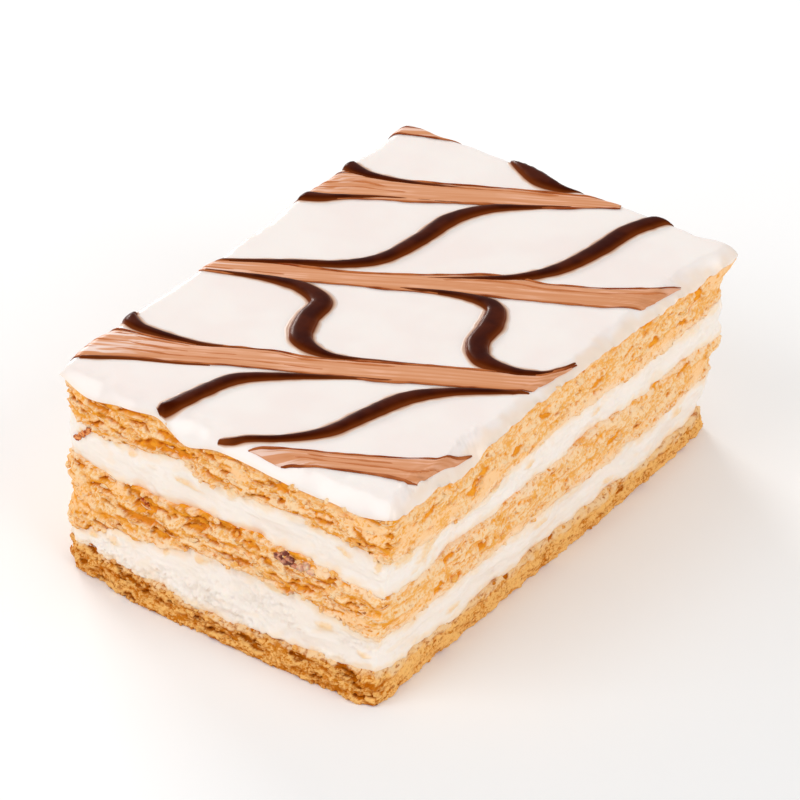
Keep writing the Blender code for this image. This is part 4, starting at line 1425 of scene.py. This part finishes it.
# %% Edges of the bands
BAND_ANGLE = math.radians(28.5)
BAND_EDGES = {  # points along and across the band's own direction, in mm
    "back": (
        ((-26.0, 43.6), (-19.0, 44.6), (-13.3, 45.7), (-8.7, 43.3), (1.4, 43.1), (9.0, 42.9), (20.1, 42.5),
         (36.0, 41.4)),
        ((-26.0, 34.6), (-16.3, 35.5), (-7.8, 36.0), (-2.5, 35.9), (8.0, 36.7), (24.0, 37.0), (36.0, 38.6)),
    ),
    "middle": (
        ((-38.4, 11.2), (-25.3, 11.9), (-17.3, 10.7), (-10.2, 10.3), (2.1, 11.1), (6.4, 11.8), (13.1, 12.8),
         (19.7, 12.7), (24.9, 11.0), (36.8, 11.2), (44.9, 12.6), (52.0, 13.6)),
        ((-38.4, 7.7), (-30.4, 6.8), (-24.0, 6.3), (-13.0, 6.2), (-1.0, 5.5), (4.6, 5.3), (13.2, 5.9),
         (20.5, 5.2), (37.3, 5.1), (43.4, 6.1), (52.0, 8.6)),
    ),
    "left": (
        ((-58.0, -12.6), (-49.7, -13.5), (-43.8, -15.2), (-38.0, -16.4), (-33.3, -17.1), (-26.0, -16.8),
         (-19.3, -17.0), (-15.6, -18.3), (3.9, -18.3), (10.3, -18.1), (34.0, -18.6)),
        ((-58.0, -24.0), (-46.5, -22.4), (-37.5, -22.9), (-29.0, -22.7), (-5.7, -23.7), (0.0, -24.3),
         (6.0, -24.0), (16.8, -24.1), (27.1, -23.6), (34.0, -22.6)),
    ),
    "front": (
        ((-21.5, -46.9), (-12.3, -47.1), (-2.2, -47.4), (7.9, -47.2), (15.6, -46.2), (19.5, -45.0)),
        ((-21.5, -48.8), (-13.2, -50.3), (-7.7, -51.7), (0.5, -52.6), (6.0, -53.2), (9.2, -54.4),
         (11.4, -54.2), (13.6, -52.6), (17.0, -50.4), (19.5, -48.8)),
    ),
    "corner": (
        ((-14.0, 63.2), (-7.6, 63.4), (-2.0, 62.4), (4.5, 60.0)),
        ((-14.0, 61.2), (-8.0, 60.6), (0.6, 59.2), (4.5, 59.0)),
    ),
}
# How far the left end of each band is combed open, from 0 to 1.
FANS = {"back": 0.4, "middle": 0.6, "left": 1.0, "front": 0.6, "corner": 0.6}
# How far the knife drew the upper right end of each band along the edge, in mm.
HOOKS = {"back": 0.0, "middle": 3.4, "left": 6.4, "front": 5.4, "corner": 0.0}
HOOK_START, HOOK_LENGTH = 3.4, 2.5  # mm from the right edge at which that starts, and over what length
print("the bands run at", round(math.degrees(BAND_ANGLE), 1), "degrees:", ", ".join(BAND_EDGES))

# %% [markdown]
# ## Milk chocolate bands
# Each band is a bundle of streaks, tan, a little lighter on its raised streaks and pinkish in patches
# there. A flat ribbon with a picture on it would end square. Here each streak is followed on its own
# from where it enters the slice to where the knife cut it off, so the ends run along the slice's own
# edges. The upper points of a ribbon have fine grooves, and its lower points lie inside the icing.

# %% Bands
BAND_HEIGHT, BAND_DEPTH = 0.3, 0.35  # mm above the icing, and mm in it
BAND_MARGINS = (1.2, 0.9, 0.3, 0.3)  # mm inside the front, right, back and left edges where bands end
LOWER_MARGIN = 0.9  # mm by which a band's lower edge ends sooner than its upper one on the right


def turned(along, across):
    """The place on the slice that lies this far along and across the bands' direction."""
    x = along * math.cos(BAND_ANGLE) - across * math.sin(BAND_ANGLE)
    return x, along * math.sin(BAND_ANGLE) + across * math.cos(BAND_ANGLE)


def cut_to_slice(along, across, share, steps, ragged=0.0):
    """The part of a line that lies on the slice, as evenly spread places along and across."""
    sides = from_edges(*turned(along, across))
    margins = list(BAND_MARGINS)
    margins[1] += ragged + LOWER_MARGIN * (1 - share)
    inside = np.min([side[0] - margin for side, margin in zip(sides, margins)], axis=0)
    kept = np.flatnonzero(inside > 0)
    spread = np.linspace(along[kept[0]], along[kept[-1]], steps)
    return spread, np.interp(spread, along, across)


def drawn_along(x, y, share, hook):
    """The places across the slice after the knife drew the band's end along the right edge."""
    near = np.clip((HOOK_START - (RIGHT - x)) / HOOK_LENGTH, 0.0, 1.0)
    return y + hook * share * near ** 1.5


def band_edges(upper, lower, seed):
    """The two edges of a band as dense, softened lines over the same places along it."""
    along = np.linspace(upper[0][0], upper[-1][0], 300)
    smooth = np.ones(15) / 15
    edges = []
    for number, edge in enumerate((upper, lower)):
        across = np.interp(along, *np.array(edge).T)
        across = np.convolve(np.pad(across, 7, mode="edge"), smooth, mode="valid")
        points = np.column_stack((along, across, across * 0))
        edges.append(across + 0.14 * wobble(points, (4, 4, 4), seed + number, 2))
    return along, *edges


def band_points(upper, lower, seed, steps, streaks, combed, hook):
    """Sections of one band: a grooved top from edge to edge, and a flat underside in the icing."""
    along, top_edge, low_edge = band_edges(upper, lower, seed)
    share = np.linspace(0.0, 1.0, streaks)
    a, c = np.empty((steps, streaks)), np.empty((steps, streaks))
    for number, part in enumerate(share):
        ragged = 0.4 * float(wobble(np.array([(part * 7.0, seed, 0.0)]), 1.0, 3.0, 2)[0])
        across = low_edge + (top_edge - low_edge) * part
        a[:, number], c[:, number] = cut_to_slice(along, across, part, steps, ragged)
    places = np.column_stack((a.ravel(), c.ravel(), c.ravel() * 0))
    groove = wobble(places, (22.0, 0.5, 1.0), seed, 2).reshape(a.shape)
    lift = BAND_HEIGHT * (1 - np.abs(2 * share - 1) ** 6) + 0.05 * groove * (share * (1 - share) * 4) ** 0.5
    lift = np.where((share == 0) | (share == 1), -0.05, lift)
    fan = combed * step(6.0 + 12.0 * combed, 1.0, a - a.min(axis=0))
    x, y = turned(a, c)
    y = drawn_along(x, y, share, hook)
    level = icing_top(x.ravel(), y.ravel()).reshape(x.shape)
    x, y, groove, fan = (np.concatenate((part, part[:, ::-1]), axis=1) for part in (x, y, groove, fan))
    z = np.concatenate((level + lift, (level - BAND_DEPTH)[:, ::-1]), axis=1)
    return (x, y, z), groove.ravel(), fan.ravel()


band_recipe = Recipe("milk_chocolate", Roughness=0.4, Specular_IOR_Level=0.35)
streak_mask, fan_mask = band_recipe.mask("streak"), band_recipe.mask("fan")
band_colour = band_recipe.mix(streak_mask.step(-0.5, 0.5), paint(211, 138, 89), paint(222, 156, 113))
pink = band_recipe.grain((7, 7, 7), 1.0).step(0.42, 0.62) * streak_mask.step(-0.1, 0.35)
band_colour = band_recipe.mix(pink * 0.7, band_colour, paint(238, 180, 148))
band_colour = band_recipe.mix(fan_mask * streak_mask.step(-0.1, 0.2), band_colour, paint(242, 216, 204))
milk = band_recipe.finish(band_colour)
band_steps, band_streaks = ((120, 25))
band_parts = [
    band_points(upper, lower, 11.0 * number, band_steps, band_streaks, FANS[band], HOOKS[band])
    for number, (band, (upper, lower)) in enumerate(BAND_EDGES.items())
]
band_masks = {
    "streak": np.concatenate([part[1] for part in band_parts]),
    "fan": np.concatenate([part[2] for part in band_parts]),
}
band_joined = join_tubes([part[0] for part in band_parts])
add_piece("milk_bands", *band_joined, milk, "milk_chocolate", ("icing",), band_masks)

# %% [markdown]
# ## Dark lines along the bands
# Each band has a hair of brown chocolate along both edges, and a few more between its streaks. These
# lines are tubes like the strokes, thinner, uneven and without a film. Where they reach the right
# side, the knife drew their ends along the edge.

# %% Lines along the bands
LINE_WIDTH, THINNEST = 0.52, 0.24  # mm
# Thin lines inside the bands: the share from the lower to the upper edge, and where they start and end.
INNER_LINES = {
    "back": ((0.62, -24.0, -8.0), (0.42, -24.0, -4.0), (0.8, 2.0, 24.0)),
    "middle": ((0.68, 6.0, 48.0), (0.3, -38.0, -22.0)),
    "left": ((0.84, -50.0, -34.0), (0.56, -54.0, -26.0), (0.3, -56.0, -10.0), (0.8, -24.0, 2.0)),
    "front": ((0.4, -12.0, 18.0), (0.66, -10.0, 6.0)),
    "corner": (),
}


def drag_line(band, number, share, start, end):
    """One line: the share tells how far it lies from the band's lower edge to its upper one."""
    along, top_edge, low_edge = band_edges(*BAND_EDGES[band], 11.0 * number)
    across = low_edge + (top_edge - low_edge) * share
    kept = (along > start) & (along < end)
    x, y = turned(*cut_to_slice(along[kept], across[kept], share, 110))
    waves = wobble(np.column_stack((x, y, x * 0 + share)), (5, 5, 5), 31.0 + number, 2)
    thick = np.maximum(LINE_WIDTH * (1 + 0.9 * waves), THINNEST)
    y = drawn_along(x, y, share, HOOKS[band])
    at_edge = share in (0, 1)
    lift = 0.14 if at_edge else BAND_HEIGHT - 0.08
    grid, foot, _ = stroke_points(np.column_stack((x, y, thick)), 6, 2.0, lift)
    return grid, np.full(len(foot), 0.0 if at_edge else 1.0)


ENDLESS = 99.0  # mm, longer than any band
line_parts = []
for number, band in enumerate(BAND_EDGES):
    for share, start, end in ((0, -ENDLESS, ENDLESS), (1, -ENDLESS, ENDLESS), *INNER_LINES[band]):
        line_parts.append(drag_line(band, number, share, start, end))
line_recipe = Recipe("dragged_chocolate", Roughness=0.45, Specular_IOR_Level=0.1)
line_recipe.shader.inputs["Specular Tint"].default_value = (1.0, 0.45, 0.2, 1.0)
line_colour = line_recipe.mix(
    line_recipe.grain((5, 5, 5)).step(0.35, 0.65), paint(140, 62, 22), paint(186, 108, 60),
)
line_colour = line_recipe.mix(line_recipe.mask("inner") * 0.8, line_colour, paint(206, 128, 80))
line_brown = line_recipe.finish(line_colour)
line_mask = {"inner": np.concatenate([part[1] for part in line_parts])}
line_joined = join_tubes([part[0] for part in line_parts])
add_piece("drag_lines", *line_joined, line_brown, "dark_chocolate", ("icing",), line_mask)

# %% [markdown]
# ## Floor and light
# The slice stands on a plain pale floor. A bright, even sky lights it from all round. One large soft
# lamp from the front left gives it form, a second one lights its right side, and a small one behind
# it on the left puts a sheen on the chocolate and the icing.

# %% Floor and lamps
floor_recipe = Recipe("floor", Roughness=0.9, Specular_IOR_Level=0.1)
floor_recipe.shader.inputs["Base Color"].default_value = paint(252, 252, 252)
floor_mesh = bpy.data.meshes.new("floor")
FAR = 3.0  # metres from the slice to the floor's edges
floor_mesh.from_pydata(
    [(-FAR, -FAR, 0), (FAR, -FAR, 0), (FAR, FAR, 0), (-FAR, FAR, 0)], [], [(0, 1, 2, 3)],
)
floor_mesh.materials.append(floor_recipe.material)
floor = bpy.data.objects.new("floor", floor_mesh)
floor.location.z = -0.0001
bpy.context.scene.collection.objects.link(floor)

world = bpy.data.worlds.new("studio")
world.use_nodes = True
world.node_tree.nodes["Background"].inputs["Color"].default_value = (1.0, 1.0, 1.0, 1.0)
world.node_tree.nodes["Background"].inputs["Strength"].default_value = 0.53
bpy.context.scene.world = world


def lamp(name, place, width, height, power):
    """A white soft box that looks at the middle of the slice."""
    light = bpy.data.objects.new(name, bpy.data.lights.new(name, "AREA"))
    light.data.shape = "RECTANGLE"
    light.data.size, light.data.size_y = width, height
    light.data.energy = power
    light.location = Vector(place)
    light.rotation_mode = "QUATERNION"
    light.rotation_quaternion = (light.location - Vector((0, 0, 0.02))).to_track_quat("Z", "Y")
    bpy.context.scene.collection.objects.link(light)


lamp("front_left", (-0.5, -0.9, 0.9), 0.9, 0.9, 6.5)
lamp("right", (1.1, -0.1, 0.7), 0.9, 0.9, 5.6)
lamp("behind_left", (-0.9, 0.5, 0.38), 0.42, 0.18, 5.6)
print("lit by", [light.name for light in bpy.data.lights])
